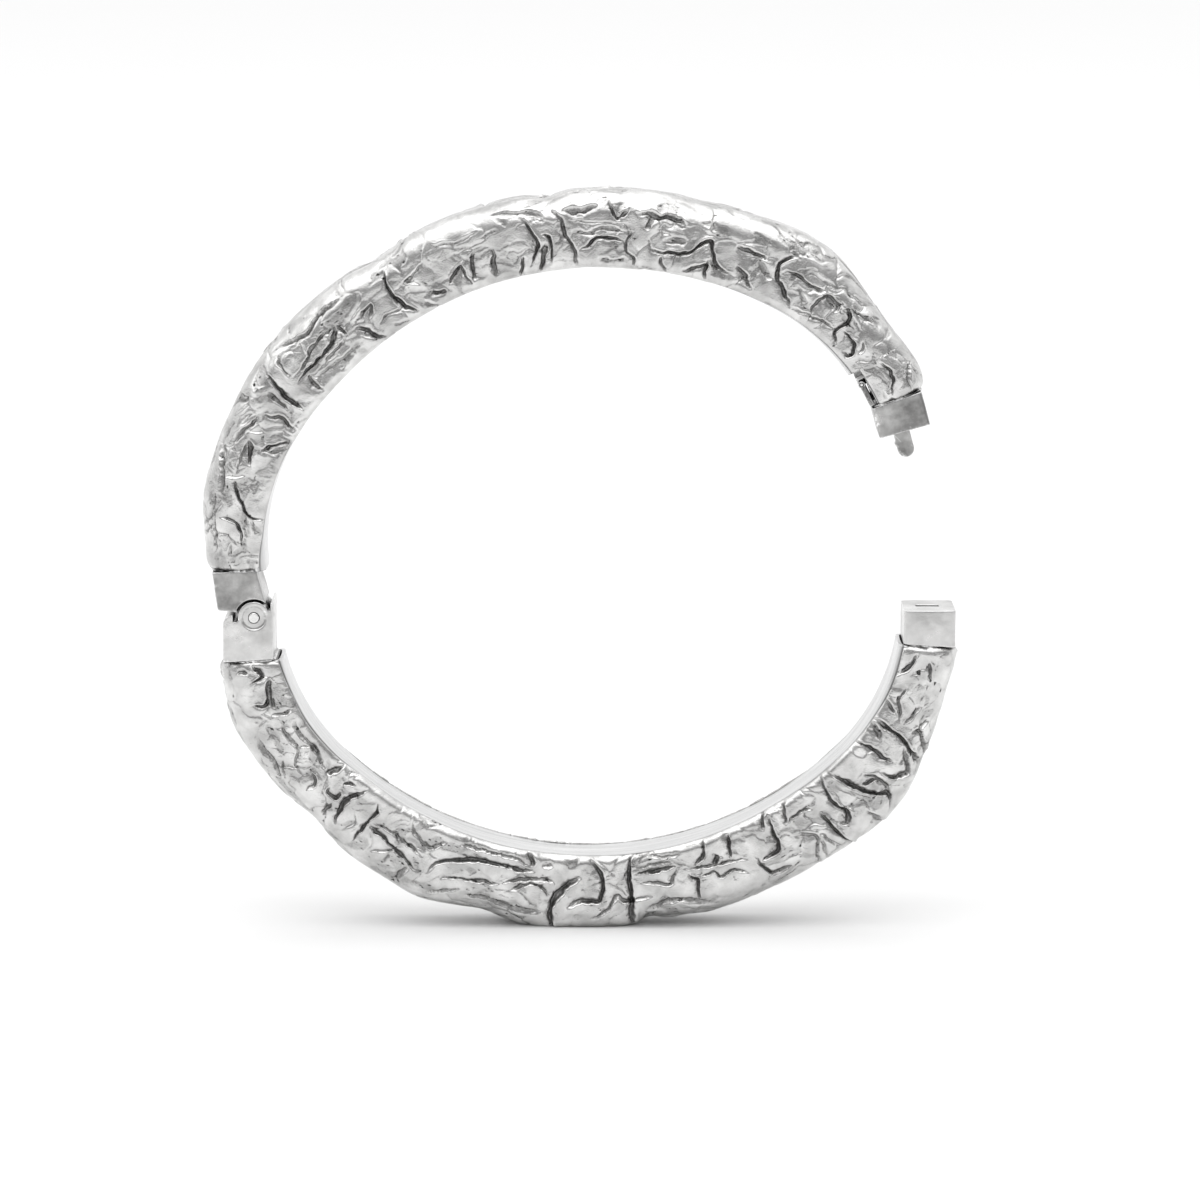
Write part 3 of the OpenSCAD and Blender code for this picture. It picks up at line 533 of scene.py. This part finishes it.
def relief(half, f, s, v, round_way):
    """Height of the crumpled metal, how dark its creases are from tarnish and painted shade, and its
    lens-shaped hollows.
    """
    seed = 300 if half == "upper" else 700
    height = 0.13 * layers(s / 5.5, v / 4.5, seed, 2)
    tarnish_and_shade = np.zeros_like(s)
    calm = np.clip(np.abs(v - round_way / 2) / 2.6, 0.12, 1)
    wu = s + 1.1 * layers(s / 2.6, v / 2.6, seed + 11, 3)
    wv = v + 0.9 * layers(s / 2.9, v / 2.9, seed + 21, 3)
    where = np.clip(0.15 + 1.3 * layers(s / 4.2, v / 3.4, seed + 31, 2), 0, 1)
    gap, lean = plates(wu, wv, (3.8, 2.6), seed + 41)
    groove = np.exp(-(gap / 0.20) ** 2) * where
    height += calm * (0.07 * lean - 0.09 * groove + 0.04 * np.minimum(gap, 1.0))
    broken = np.clip(0.3 + layers(s / 0.8, v / 0.8, seed + 51, 2), 0, 1)
    tarnish_and_shade = np.maximum(tarnish_and_shade, 0.5 * groove * broken)
    gap, lean = plates(wu * 1.02 + 5, wv * 1.05, (1.5, 1.05), seed + 61)
    small = np.clip(1.2 * layers(s / 3.1, v / 2.6, seed + 71, 2), 0, 1)
    height += calm * small * (0.03 * lean - 0.05 * np.exp(-(gap / 0.16) ** 2))
    lens = np.clip((layers(wu / 1.7 + 3, wv / 0.85, seed + 121, 2) - 0.42) / 0.22, 0, 1) * calm
    height -= 0.06 * lens
    js = s + 0.10 * layers(s / 0.55, v / 0.55, seed + 101, 2)
    jv = v + 0.10 * layers(s / 0.55, v / 0.55, seed + 111, 2)
    for depth, width, points in CREASES[half]:
        path = [(p / 100 * HALF_LENGTH, way_at(float(band_depth(half, np.array(p / 100))), t))
                for p, t in points]
        carve(height, tarnish_and_shade, js, jv, smooth_path(path), depth, width * 0.8)
    rng = np.random.RandomState(seed + 81)
    crown = round_way / 2
    for k in range(RANDOM_CREASES):
        back = k % 5 > 0
        reach = (crown + 1.2, round_way - 2.6) if back else (crown - 1, crown + 1)
        at = np.array([rng.uniform(2, HALF_LENGTH - 2), rng.uniform(*reach)])
        turn = rng.uniform(0, math.pi)
        path = [at]
        for _ in range(rng.randint(2, 5)):
            turn += rng.uniform(-0.7, 0.7)
            way = np.array([math.cos(turn), math.sin(turn)])
            path.append(path[-1] + rng.uniform(0.7, 1.9) * way)
        deep = rng.uniform(0.16, 0.42) if back else rng.uniform(0.08, 0.18)
        carve(height, tarnish_and_shade, js, jv, smooth_path(path), deep, rng.uniform(0.14, 0.28))
    height += 0.010 * layers(s / 0.7, v / 0.7, seed + 91, 2)
    return height, tarnish_and_shade, lens


def linked(name, data):
    """A new object, put into the scene."""
    piece = bpy.data.objects.new(name, data)
    bpy.context.scene.collection.objects.link(piece)
    return piece


def face_outwards(mesh):
    bm = bmesh.new()
    bm.from_mesh(mesh)
    bmesh.ops.recalc_face_normals(bm, faces=bm.faces)
    bm.to_mesh(mesh)
    bm.free()


def grid_mesh(name, points, uv, attributes):
    """A mesh over a grid of points, its sections closed and its two ends capped."""
    n, m, _ = points.shape
    i, j = np.meshgrid(np.arange(n - 1), np.arange(m), indexing="ij")
    k = (j + 1) % m
    quads = np.stack([i * m + j, i * m + k, (i + 1) * m + k, (i + 1) * m + j], -1).reshape(-1, 4)
    faces = quads.tolist()
    faces.append(list(range(m - 1, -1, -1)))
    faces.append([(n - 1) * m + q for q in range(m)])
    mesh = bpy.data.meshes.new(name)
    mesh.from_pydata((points.reshape(-1, 3) * MM).tolist(), [], faces)
    for key, values in attributes.items():
        layer = mesh.attributes.new(key, "FLOAT", "POINT")
        layer.data.foreach_set("value", values.reshape(-1).astype(np.float32))
    ring = mesh.attributes.new("ring", "FLOAT_VECTOR", "POINT")
    vectors = np.dstack([uv, np.zeros(uv.shape[:2])])
    ring.data.foreach_set("vector", vectors.reshape(-1).astype(np.float32))
    # The two end caps stay flat
    for polygon in mesh.polygons:
        polygon.use_smooth = len(polygon.vertices) == 4
    face_outwards(mesh)
    return linked(name, mesh)


def with_hidden(a):
    """Carries a map's two edge columns over to the sheet's two hidden rows of points."""
    return np.concatenate([a, a[:, -1:], a[:, :1]], axis=1)


def both_faces(a):
    """Carries a map of the lining's wrist side over to its far side."""
    return np.concatenate([a, a[:, ::-1]], axis=1)


def end_rounding(from_end):
    """How far the sheet draws in near a tube's end."""
    x = np.clip(1 - from_end / END_R, 0, 1)
    return END_R * (1 - np.sqrt(1 - np.minimum(x, 0.98) ** 2))


def crumpled_sheet(half):
    """One half's outer sheet: a crumpled, half-melted silver skin on a rounded section."""
    u = np.linspace(0, 1, STATIONS)[:, None]
    q = np.linspace(0, 1, ROUND)[None, :]
    q = q - DRAWN_FORWARD * np.sin(math.pi * q) ** 2
    mid_f = seam_share(half, "hinge", 0.5) * (1 - u) + seam_share(half, "clasp", 0.5) * u
    depth = band_depth(half, mid_f)
    start = lip_start(half, mid_f)
    y, d, way = skin(half, depth + q * 0, q + u * 0, start + q * 0)
    t = np.clip(d / depth, 0, 1)
    first = seam_share(half, "hinge", 0.0) * (1 - t) + seam_share(half, "hinge", 1.0) * t
    last = seam_share(half, "clasp", 0.0) * (1 - t) + seam_share(half, "clasp", 1.0) * t
    f = first * (1 - u) + last * u
    xi, zi, ux, uz, _ = spoke(f)
    x, z = xi + ux * d, zi + uz * d
    base = np.dstack([x, y, z])
    along = np.gradient(base, axis=0)
    across = np.gradient(base, axis=1)
    normal = np.cross(along, across)
    normal /= np.maximum(np.linalg.norm(normal, axis=2, keepdims=True), 1e-9)
    out = np.dstack([ux * (d - depth / 2), y, uz * (d - depth / 2)])
    normal *= np.sign((normal * out).sum(2).mean())
    total = way.max()
    s = f * HALF_LENGTH
    v = np.where(q < 0.5, way, 2 * total - way)
    height, tarnish_and_shade, lens = relief(half, f, s, v, 2 * total)
    from_end = np.minimum(f - first, last - f) * HALF_LENGTH
    from_lip = np.minimum(way - start, 9)
    fade = np.clip(from_lip / np.where(q < 0.5, 0.7, 1.6), 0, 1)
    height = height * (0.22 + 0.78 * fade) + SHEET_PROUD * np.sqrt(np.clip(from_lip / 0.12, 0, 1))
    height = height * np.clip(from_end / 0.8, 0.25, 1) - end_rounding(from_end)
    points = base + normal * height[..., None]
    # Lumps that would reach past the band's width are eased in
    excess = np.abs(points[..., 1]) - (HALF_W + 0.05)
    room = HALF_W_MOST - HALF_W - 0.05
    tamed = HALF_W + 0.05 + room * np.tanh(np.maximum(excess, 0) / room)
    points[..., 1] = np.where(excess > 0, np.sign(points[..., 1]) * tamed, points[..., 1])
    hollow = np.clip((blur(height, (9, 6)) - height) / 0.16, 0, 1)
    hollow = np.maximum(hollow, 0.8 * lens)
    ragged = 0.16 * layers(s / 0.9, v / 0.9, 7, 3)
    # Hollows are made a little darker as well
    tarnish_and_shade = np.clip(tarnish_and_shade + hollow * 0.16, 0, 1)
    seam_dark = np.clip(1.25 - (from_end + ragged) / 0.26, 0, 1)
    tarnish_and_shade = np.maximum(tarnish_and_shade, seam_dark * np.clip(from_lip / 0.9, 0.1, 1))
    # A dark line along the sheet's lip, where it stands proud of the lining: painted shadow
    tarnish_and_shade = np.maximum(tarnish_and_shade, 0.55 * np.exp(-(from_lip / 0.09) ** 2))
    px, pz = place(half, points[..., 0], points[..., 2])
    if half == "lower":
        pz = np.maximum(pz, 0.004)
    points = np.dstack([px, points[..., 1], pz])
    # Two rows of points out of sight close the section behind the lining
    hidden_d = 0.5 + lever_gap(half, mid_f) * 1.05
    hidden = []
    for sign in (1, -1):
        hx, hz = xi[:, :1] + ux[:, :1] * hidden_d, zi[:, :1] + uz[:, :1] * hidden_d
        hx, hz = place(half, hx, hz)
        hidden.append(np.dstack([hx, hx * 0 + sign * (HALF_W - 0.55), hz]))
    points = np.concatenate([points, hidden[0], hidden[1]], axis=1)
    piece = grid_mesh(half + "_crumpled_sheet", points,
                      np.dstack([with_hidden(s), with_hidden(v)]),
                      {"tarnish_and_shade": with_hidden(tarnish_and_shade), "hollow": with_hidden(hollow)})
    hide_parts(half + "_shell")
    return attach(piece, half + "_half")


def smooth_lining(half):
    """The strip on the wrist side, rolled smooth, with its edges tucked under the sheet's lips."""
    u = np.linspace(0, 1, LINING_STATIONS)[:, None]
    q = np.linspace(-1, 1, LINING_ROUND)[None, :]
    first = seam_share(half, "hinge", 0.0)
    last = seam_share(half, "clasp", 0.0)
    if half == "upper":
        f = np.linspace(0.5, 1, 600)
        last = f[np.argmax(lever_gap(half, f) > 0)] - 0.001
    f = first * (1 - u) + last * u
    reach = lip_start(half, f) + 0.3
    way = np.abs(q) * reach
    turn = np.clip((way - FLAT) / CORNER_R, 0, math.pi / 2)
    over = np.clip(way - FLAT - CORNER_R * math.pi / 2, 0, 9)
    y = np.sign(q) * (np.minimum(way, FLAT) + CORNER_R * np.sin(turn))
    d = CORNER_R * (1 - np.cos(turn)) + over - 0.06 * np.clip(1 - (y / FLAT) ** 2, 0, 1)
    s = f * HALF_LENGTH
    wave = 0.02 * layers(s / 9 + q * 0, y / 3, 91, 2) + 0.006 * lattice(s / 3, y * 6, 95)
    d = d - wave
    xi, zi, ux, uz, _ = spoke(f)
    rows = []
    for depth, wide in ((d, y), (d[:, ::-1] + LINING_T, y[:, ::-1] * 0.93)):
        x, z = place(half, xi + ux * depth, zi + uz * depth)
        rows.append(np.dstack([x, wide, z]))
    points = np.concatenate(rows, axis=1)
    # A dark line along the lining's edges, where they tuck under the sheet's lips: painted shadow
    edge = np.exp(-((reach - 0.3 - way) / 0.12) ** 2)
    piece = grid_mesh(half + "_rolled_lining", points,
                      np.dstack([both_faces(s + q * 0), both_faces(y + s * 0)]),
                      {"tarnish_and_shade": both_faces(edge * 0.9)})
    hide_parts(half + "_lining")
    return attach(piece, half + "_half")


# ------------ the blocks and the latch
def worn_copy(node, body, voxel, rounds, wave, pillow=0.0):
    """A copy of a CAD node with its edges worn round, as filing and polishing leave them. The
    surface is rebuilt in cells of size voxel and smoothed in rounds. It then draws in unevenly,
    by about the wave, and its sides bulge by the share pillow."""
    source = frame["nodes"][node]
    mesh = source.data.copy()
    mesh.transform(Matrix.Scale(1 / MM, 4))
    bm = bmesh.new()
    bm.from_mesh(mesh)
    bmesh.ops.remove_doubles(bm, verts=bm.verts, dist=1e-4)
    bm.to_mesh(mesh)
    bm.free()
    rough = linked(node + "_rough", mesh)
    remesh = rough.modifiers.new("remesh", "REMESH")
    remesh.mode = "VOXEL"
    remesh.voxel_size = voxel
    smooth = rough.modifiers.new("smooth", "SMOOTH")
    smooth.factor = 0.5
    smooth.iterations = rounds
    graph = bpy.context.evaluated_depsgraph_get()
    worn = bpy.data.meshes.new_from_object(rough.evaluated_get(graph))
    bpy.data.objects.remove(rough)
    co = np.zeros(len(worn.vertices) * 3)
    worn.vertices.foreach_get("co", co)
    normals = np.zeros_like(co)
    worn.vertices.foreach_get("normal", normals)
    co, normals = co.reshape(-1, 3), normals.reshape(-1, 3)
    seed = sum(map(ord, node))
    uneven = layers(co[:, 0] / 1.1 + co[:, 1] / 2.3, co[:, 2] / 1.1 - co[:, 1] / 1.9, seed, 2)
    # The layers reach 1.5 at most, so the copy stays inside the CAD surface
    lift = wave * (uneven - 1.8)
    co = co + normals * lift[:, None]
    low, high = co.min(0), co.max(0)
    off = (co - (low + high) / 2) / ((high - low) / 2)
    co[:, 1] *= 1 - pillow * (off[:, 0] ** 2 + off[:, 2] ** 2)
    co *= MM
    worn.vertices.foreach_set("co", co.reshape(-1))
    worn.shade_smooth()
    worn.name = node + "_worn"
    worn.materials.clear()
    piece = linked(node + "_worn", worn)
    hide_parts(node)
    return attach(piece, body)


def solder_bead(name, half, end, body):
    """The uneven line of solder where a tube's end meets its block."""
    seed = sum(map(ord, name))
    q = np.linspace(0, 1, BEAD_POINTS, endpoint=False)
    centre = np.full_like(q, seam_share(half, end, 0.5))
    depth = band_depth(half, centre)
    y, d, _ = skin(half, depth, q, np.full_like(q, 0.6))
    t = np.clip(d / depth, 0, 1)
    f = seam_share(half, end, 0.0) * (1 - t) + seam_share(half, end, 1.0) * t
    d = np.clip(d, 0.72, None) - BEAD_INSET * (t > 0.5)
    y = y * (HALF_W - BEAD_INSET) / HALF_W
    noise = layers(q * 40, q * 0 + 1.7, seed, 3)
    f = f + (0.10 * noise) / HALF_LENGTH
    xi, zi, ux, uz, _ = spoke(f)
    x, z = place(half, xi + ux * d, zi + uz * d)
    line = np.stack([x, y, z], -1)
    ahead = np.roll(line, -1, 0) - np.roll(line, 1, 0)
    ahead /= np.linalg.norm(ahead, axis=1, keepdims=True)
    middle = line.mean(0)
    outward = line - middle
    outward -= ahead * (outward * ahead).sum(1, keepdims=True)
    outward /= np.linalg.norm(outward, axis=1, keepdims=True)
    sideways = np.cross(ahead, outward)
    radius = BEAD_R + 0.06 * layers(q * 55, q * 0 + 8.2, seed + 5, 2)
    radius = radius * np.clip((t - 0.12) / 0.12, 0.1, 1)
    rings = []
    for k in range(BEAD_SIDES):
        a = 2 * math.pi * k / BEAD_SIDES
        spread = math.cos(a) * outward * 0.9 + math.sin(a) * sideways
        rings.append(line + radius[:, None] * spread)
    points = np.stack(rings, 1)
    n, m, _ = points.shape
    faces = [[i * m + j, i * m + (j + 1) % m,
              ((i + 1) % n) * m + (j + 1) % m, ((i + 1) % n) * m + j]
             for i in range(n) for j in range(m)]
    mesh = bpy.data.meshes.new(name)
    mesh.from_pydata((points.reshape(-1, 3) * MM).tolist(), [], faces)
    mesh.shade_smooth()
    face_outwards(mesh)
    piece = linked(name, mesh)
    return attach(piece, body)


# ------------ materials
# Greys that the silver shares: black for pin holes and for deep corners, painted as shade and
# tarnish; grey for creases, partly tarnish and partly painted shade; dull grey for hollows, and for
# the painted shade of the upper half's blocks; near white for convex edges, partly rubbed polish and
# partly a painted highlight; near black for inner corners, painted shade
PIT_AND_SHADE_BLACK = (0.03, 0.029, 0.028)
CREASE_GREY = (0.085, 0.083, 0.081)
DULL_AND_SHADED_GREY = (0.24, 0.238, 0.235)
RUBBED_AND_HIGHLIT_EDGE = (0.93, 0.93, 0.93)
PAINTED_CORNER_SHADE = (0.04, 0.04, 0.04)
# In metres: height of fine scratches, and how near a wall makes a deep corner, painted dark as shade
FINE_BUMP = 0.00003
CORNER_REACH = 0.0006


class Tree:
    """A node tree being built. Each method adds one node and returns its output."""

    def __init__(self, tree):
        self.nodes = tree.nodes
        self.links = tree.links

    def noise(self, vector, scale, detail, rough=0.55):
        node = self.nodes.new("ShaderNodeTexNoise")
        node.inputs["Scale"].default_value = scale
        node.inputs["Detail"].default_value = detail
        node.inputs["Roughness"].default_value = rough
        self.links.new(vector, node.inputs["Vector"])
        return node.outputs["Fac"]

    def stretched(self, vector, scale):
        node = self.nodes.new("ShaderNodeMapping")
        node.inputs["Scale"].default_value = scale
        self.links.new(vector, node.inputs["Vector"])
        return node.outputs["Vector"]

    def ramp(self, value, stops):
        """Greys by a value, from stops of place and level."""
        node = self.nodes.new("ShaderNodeValToRGB")
        elements = node.color_ramp.elements
        elements[0].position, elements[1].position = stops[0][0], stops[-1][0]
        elements[0].color = (*[stops[0][1]] * 3, 1)
        elements[1].color = (*[stops[-1][1]] * 3, 1)
        for at, level in stops[1:-1]:
            elements.new(at).color = (*[level] * 3, 1)
        self.links.new(value, node.inputs["Fac"])
        return node.outputs["Color"]

    def combine(self, kind, a, b):
        """Arithmetic on two values. A sum is held between 0 and 1."""
        node = self.nodes.new("ShaderNodeMath")
        node.operation = kind
        node.use_clamp = kind == "ADD"
        for socket, value in zip(node.inputs, (a, b)):
            if isinstance(value, (int, float)):
                socket.default_value = value
            else:
                self.links.new(value, socket)
        return node.outputs["Value"]

    def mixed(self, factor, low, high):
        """A colour between two, by a factor."""
        node = self.nodes.new("ShaderNodeMix")
        node.data_type = "RGBA"
        self.links.new(factor, node.inputs["Factor"])
        for socket, value in ((node.inputs["A"], low), (node.inputs["B"], high)):
            if isinstance(value, tuple):
                socket.default_value = (*value, 1)
            else:
                self.links.new(value, socket)
        return node.outputs["Result"]

    def bumped(self, shader, height, distance, strength):
        node = self.nodes.new("ShaderNodeBump")
        node.inputs["Distance"].default_value = distance
        node.inputs["Strength"].default_value = strength
        self.links.new(height, node.inputs["Height"])
        self.links.new(node.outputs["Normal"], shader.inputs["Normal"])

    def attribute(self, name, output):
        node = self.nodes.new("ShaderNodeAttribute")
        node.attribute_name = name
        return node.outputs[output]


def new_material(name):
    material = bpy.data.materials.new(name)
    material.use_nodes = True
    tree = Tree(material.node_tree)
    shader = tree.nodes["Principled BSDF"]
    shader.inputs["Metallic"].default_value = 1.0
    return material, tree, shader


def silver(name, bright, tarnish, rough, grain=0.5, spots=0.0):
    """Worn silver: cloudy colour, uneven gloss and fine scratches, from noise in space; convex edges
    lighter, partly rubbed polish and partly a painted highlight; inner corners and crevices darkened
    as painted shade, standing also for tarnish in the crevices.
    """
    material, tree, shader = new_material(name)
    where = tree.nodes.new("ShaderNodeTexCoord").outputs["Object"]
    cloud = tree.noise(where, 290, 6, 0.6)
    fine = tree.noise(where, 5200, 4)
    scratch = tree.noise(tree.stretched(where, (900, 7000, 900)), 1.0, 3)
    colour = tree.mixed(tree.ramp(cloud, [(0.35, 0.0), (0.7, 1.0)]), tarnish, bright)
    if spots:
        pit = tree.ramp(tree.noise(where, 1500, 3), [(0.60, 0.0), (0.72, spots)])
        colour = tree.mixed(pit, colour, tuple(0.3 * c for c in tarnish))
    edge = tree.nodes.new("ShaderNodeNewGeometry").outputs["Pointiness"]
    # Convex edges are painted lighter: partly rubbed polish, partly a painted highlight
    rubbed_and_highlit = tree.ramp(edge, [(0.515, 0.0), (0.56, 0.85)])
    colour = tree.mixed(rubbed_and_highlit, colour, RUBBED_AND_HIGHLIT_EDGE)
    # Concave corners are painted near black: painted shade
    corner_shade = tree.ramp(edge, [(0.455, 0.95), (0.491, 0.0)])
    colour = tree.mixed(corner_shade, colour, PAINTED_CORNER_SHADE)
    # Ambient occlusion darkens deep corners and gaps between parts: painted shade, standing also for
    # tarnish there
    crevice_shade = tree.nodes.new("ShaderNodeAmbientOcclusion")
    crevice_shade.samples = 6
    crevice_shade.inputs["Distance"].default_value = CORNER_REACH
    open_sky = tree.ramp(crevice_shade.outputs["AO"], [(0.28, 0.0), (0.60, 0.75), (0.80, 1.0)])
    colour = tree.mixed(open_sky, PIT_AND_SHADE_BLACK, colour)
    tree.links.new(colour, shader.inputs["Base Color"])
    gloss = tree.ramp(cloud, [(0.3, rough * 1.25), (0.7, rough * 0.8)])
    gloss = tree.combine("ADD", gloss, tree.combine("MULTIPLY", scratch, 0.12 * grain))
    tree.links.new(gloss, shader.inputs["Roughness"])
    height = tree.combine("ADD", fine, tree.combine("MULTIPLY", scratch, grain))
    tree.bumped(shader, height, FINE_BUMP, 0.35)
    return material


def crumpled_silver():
    """Polished high places, grey slopes, and dark creases, lips and seams, partly tarnish and partly
    painted shade, with black pin holes in the hollows.
    """
    material, tree, shader = new_material("crumpled_silver")
    ring = tree.attribute("ring", "Vector")
    tarnish_and_shade = tree.attribute("tarnish_and_shade", "Fac")
    hollow = tree.attribute("hollow", "Fac")
    cloud = tree.noise(ring, 0.45, 6)
    grain = tree.noise(ring, 6.5, 5, 0.7)
    uneven = tree.combine("MULTIPLY", tree.combine("SUBTRACT", grain, 0.5), 2.2)
    # Dark marks of creases, lips and seams: partly tarnish, partly painted shade
    dark = tree.combine("ADD", tarnish_and_shade, tree.combine("MULTIPLY", uneven, tarnish_and_shade))
    dark = tree.ramp(dark, [(0.12, 0.0), (0.45, 0.50), (0.75, 0.86), (1.0, 1.0)])
    clean = tree.mixed(tree.ramp(cloud, [(0.35, 0.0), (0.68, 1.0)]),
                       (0.50, 0.497, 0.492), (0.80, 0.797, 0.79))
    dull = tree.combine("MULTIPLY", hollow, tree.ramp(grain, [(0.35, 0.25), (0.7, 0.9)]))
    clean = tree.mixed(dull, clean, DULL_AND_SHADED_GREY)
    holes = tree.noise(tree.stretched(ring, (1.6, 3.4, 1.0)), 1.0, 2)
    holes = tree.combine("MULTIPLY", tree.ramp(holes, [(0.62, 0.0), (0.68, 1.0)]),
                         tree.ramp(hollow, [(0.10, 0.0), (0.35, 1.0)]))
    clean = tree.mixed(holes, clean, PIT_AND_SHADE_BLACK)
    colour = tree.mixed(dark, clean, CREASE_GREY)
    tree.links.new(colour, shader.inputs["Base Color"])
    gloss = tree.ramp(cloud, [(0.3, 0.24), (0.7, 0.15)])
    gloss = tree.combine("ADD", gloss, tree.combine("MULTIPLY", dark, 0.3))
    tree.links.new(gloss, shader.inputs["Roughness"])
    height = tree.combine("SUBTRACT", grain, tree.combine("MULTIPLY", holes, 1.5))
    tree.bumped(shader, height, 0.00007, 0.4)
    return material


def lining_silver():
    """Rolled silver with long polishing lines, and a painted shadow line along its edges."""
    material, tree, shader = new_material("lining_silver")
    ring = tree.attribute("ring", "Vector")
    tarnish_and_shade = tree.attribute("tarnish_and_shade", "Fac")
    lines = tree.noise(tree.stretched(ring, (0.10, 5.0, 1.0)), 1.0, 6, 0.7)
    long = tree.noise(tree.stretched(ring, (0.03, 1.4, 1.0)), 1.0, 3)
    clean = tree.mixed(tree.ramp(long, [(0.35, 0.0), (0.65, 1.0)]),
                       (0.62, 0.62, 0.62), (0.80, 0.80, 0.80))
    clean = tree.mixed(tree.ramp(lines, [(0.52, 0.0), (0.70, 0.65)]), clean, (0.45, 0.45, 0.45))
    # The lining's edges are darkened: painted shadow under the sheet's lips
    colour = tree.mixed(tarnish_and_shade, clean, (0.08, 0.08, 0.08))
    tree.links.new(colour, shader.inputs["Base Color"])
    gloss = tree.ramp(lines, [(0.3, 0.20), (0.7, 0.42)])
    tree.links.new(gloss, shader.inputs["Roughness"])
    tree.bumped(shader, lines, FINE_BUMP, 0.5)
    return material


# ------------ making it all
def build_object():
    textured = crumpled_silver()
    rolled = lining_silver()
    # The upper half's filed silver is a darker copy of the lower's: painted shade on the upper
    # blocks and lever housing
    filed = {"lower": silver("filed_silver", (0.78, 0.777, 0.77), (0.52, 0.517, 0.512), 0.25,
                             grain=0.8),
             "upper": silver("filed_silver_shaded", (0.66, 0.657, 0.65), DULL_AND_SHADED_GREY, 0.25,
                             grain=0.8)}
    bright = silver("peened_silver", (0.86, 0.86, 0.85), (0.72, 0.72, 0.71), 0.2)
    steel = silver("latch_alloy", (0.60, 0.597, 0.59), (0.16, 0.158, 0.155), 0.3,
                   grain=1.0, spots=0.6)
    tarnished = silver("solder_silver", (0.72, 0.71, 0.70), (0.10, 0.098, 0.095), 0.34,
                       spots=0.6)
    for half in ("lower", "upper"):
        body = half + "_half"
        crumpled_sheet(half).data.materials.append(textured)
        smooth_lining(half).data.materials.append(rolled)
        for end in ("hinge", "clasp"):
            block = worn_copy(f"{half}_{end}_block", body,
                              voxel=0.075, rounds=3, wave=0.017, pillow=0.022)
            block.data.materials.append(filed[half])
            bead = solder_bead(f"{half}_{end}_solder", half, end, body)
            bead.data.materials.append(tarnished)
    for node, body, slot, finish in (
            ("catch_plate", "lower_half", "latch_steel", steel),
            ("hinge_pin", "lower_half", "pin_silver", bright),
            ("lever_housing", "upper_half", "block_silver", filed["upper"]),
            ("lever_pin", "upper_half", "pin_silver", bright),
            ("lever_springs", "upper_half", "latch_steel", steel),
            ("latch_lever", "latch", "latch_steel", steel)):
        piece = worn_copy(node, body, voxel=0.05, rounds=2, wave=0.006)
        piece.data.materials.append(finish)
    for node in frame["nodes"].values():
        node.data.materials.clear()
        node.data.materials.append(filed["lower"])


def build_stage():
    """A plain white floor and plain soft light."""
    mesh = bpy.data.meshes.new("floor")
    reach = 4.0
    corners = [(-reach, -reach, 0), (reach, -reach, 0), (reach, reach, 0), (-reach, reach, 0)]
    mesh.from_pydata(corners, [], [(0, 1, 2, 3)])
    floor = linked("floor", mesh)
    material, _, shader = new_material("white_floor")
    shader.inputs["Metallic"].default_value = 0.0
    shader.inputs["Base Color"].default_value = (0.80, 0.80, 0.80, 1)
    shader.inputs["Roughness"].default_value = 0.9
    shader.inputs["Specular IOR Level"].default_value = 0.0
    floor.data.materials.append(material)

    world = bpy.data.worlds.new("studio")
    world.use_nodes = True
    bpy.context.scene.world = world
    tree = Tree(world.node_tree)
    direction = tree.nodes.new("ShaderNodeTexCoord").outputs["Generated"]
    split = tree.nodes.new("ShaderNodeSeparateXYZ")
    tree.links.new(direction, split.inputs["Vector"])
    front = tree.ramp(split.outputs["Z"],
                      [(0.0, 0.50), (0.20, 0.24), (0.50, 0.62), (0.78, 1.7), (1.0, 2.0)])
    behind = tree.combine("ADD", tree.combine("MULTIPLY", split.outputs["Y"], 1.6), 0.35)
    sky = tree.mixed(behind, front, (1.05, 1.05, 1.05))
    tree.links.new(sky, tree.nodes["Background"].inputs["Color"])
    tree.nodes["Background"].inputs["Strength"].default_value = 1.0

    def softbox(name, at, size, power):
        light = bpy.data.lights.new(name, "AREA")
        light.shape = "RECTANGLE"
        light.size, light.size_y = size
        light.energy = power
        box = linked(name, light)
        box.location = at
        aim = Vector((0, 0, 0.03)) - Vector(at)
        box.rotation_euler = aim.to_track_quat("-Z", "Y").to_euler()

    softbox("top_softbox", (-0.02, 0.02, 1.0), (1.3, 1.1), 2.6)
    softbox("left_softbox", (-0.9, -0.3, 0.55), (0.7, 0.6), 1.2)


def build_camera():
    """The camera: a long lens half a metre away, a little above the bangle."""
    distance, elevation = 0.5, math.radians(9.85)
    target = Vector((0.00105, 0.0, 0.0315))
    camera = bpy.data.cameras.new("camera")
    camera.lens = 156.7
    camera.sensor_width = 36.0
    camera.clip_start = 0.01
    camera.clip_end = 50.0
    shown = linked("camera", camera)
    shown.location = target + distance * Vector((0, -math.cos(elevation), math.sin(elevation)))
    shown.rotation_euler = (target - shown.location).to_track_quat("-Z", "Y").to_euler()
    bpy.context.scene.camera = shown
    bpy.context.scene.view_settings.view_transform = "Standard"
    bpy.context.scene.view_settings.look = "None"


build_camera()
build_object()
build_stage()
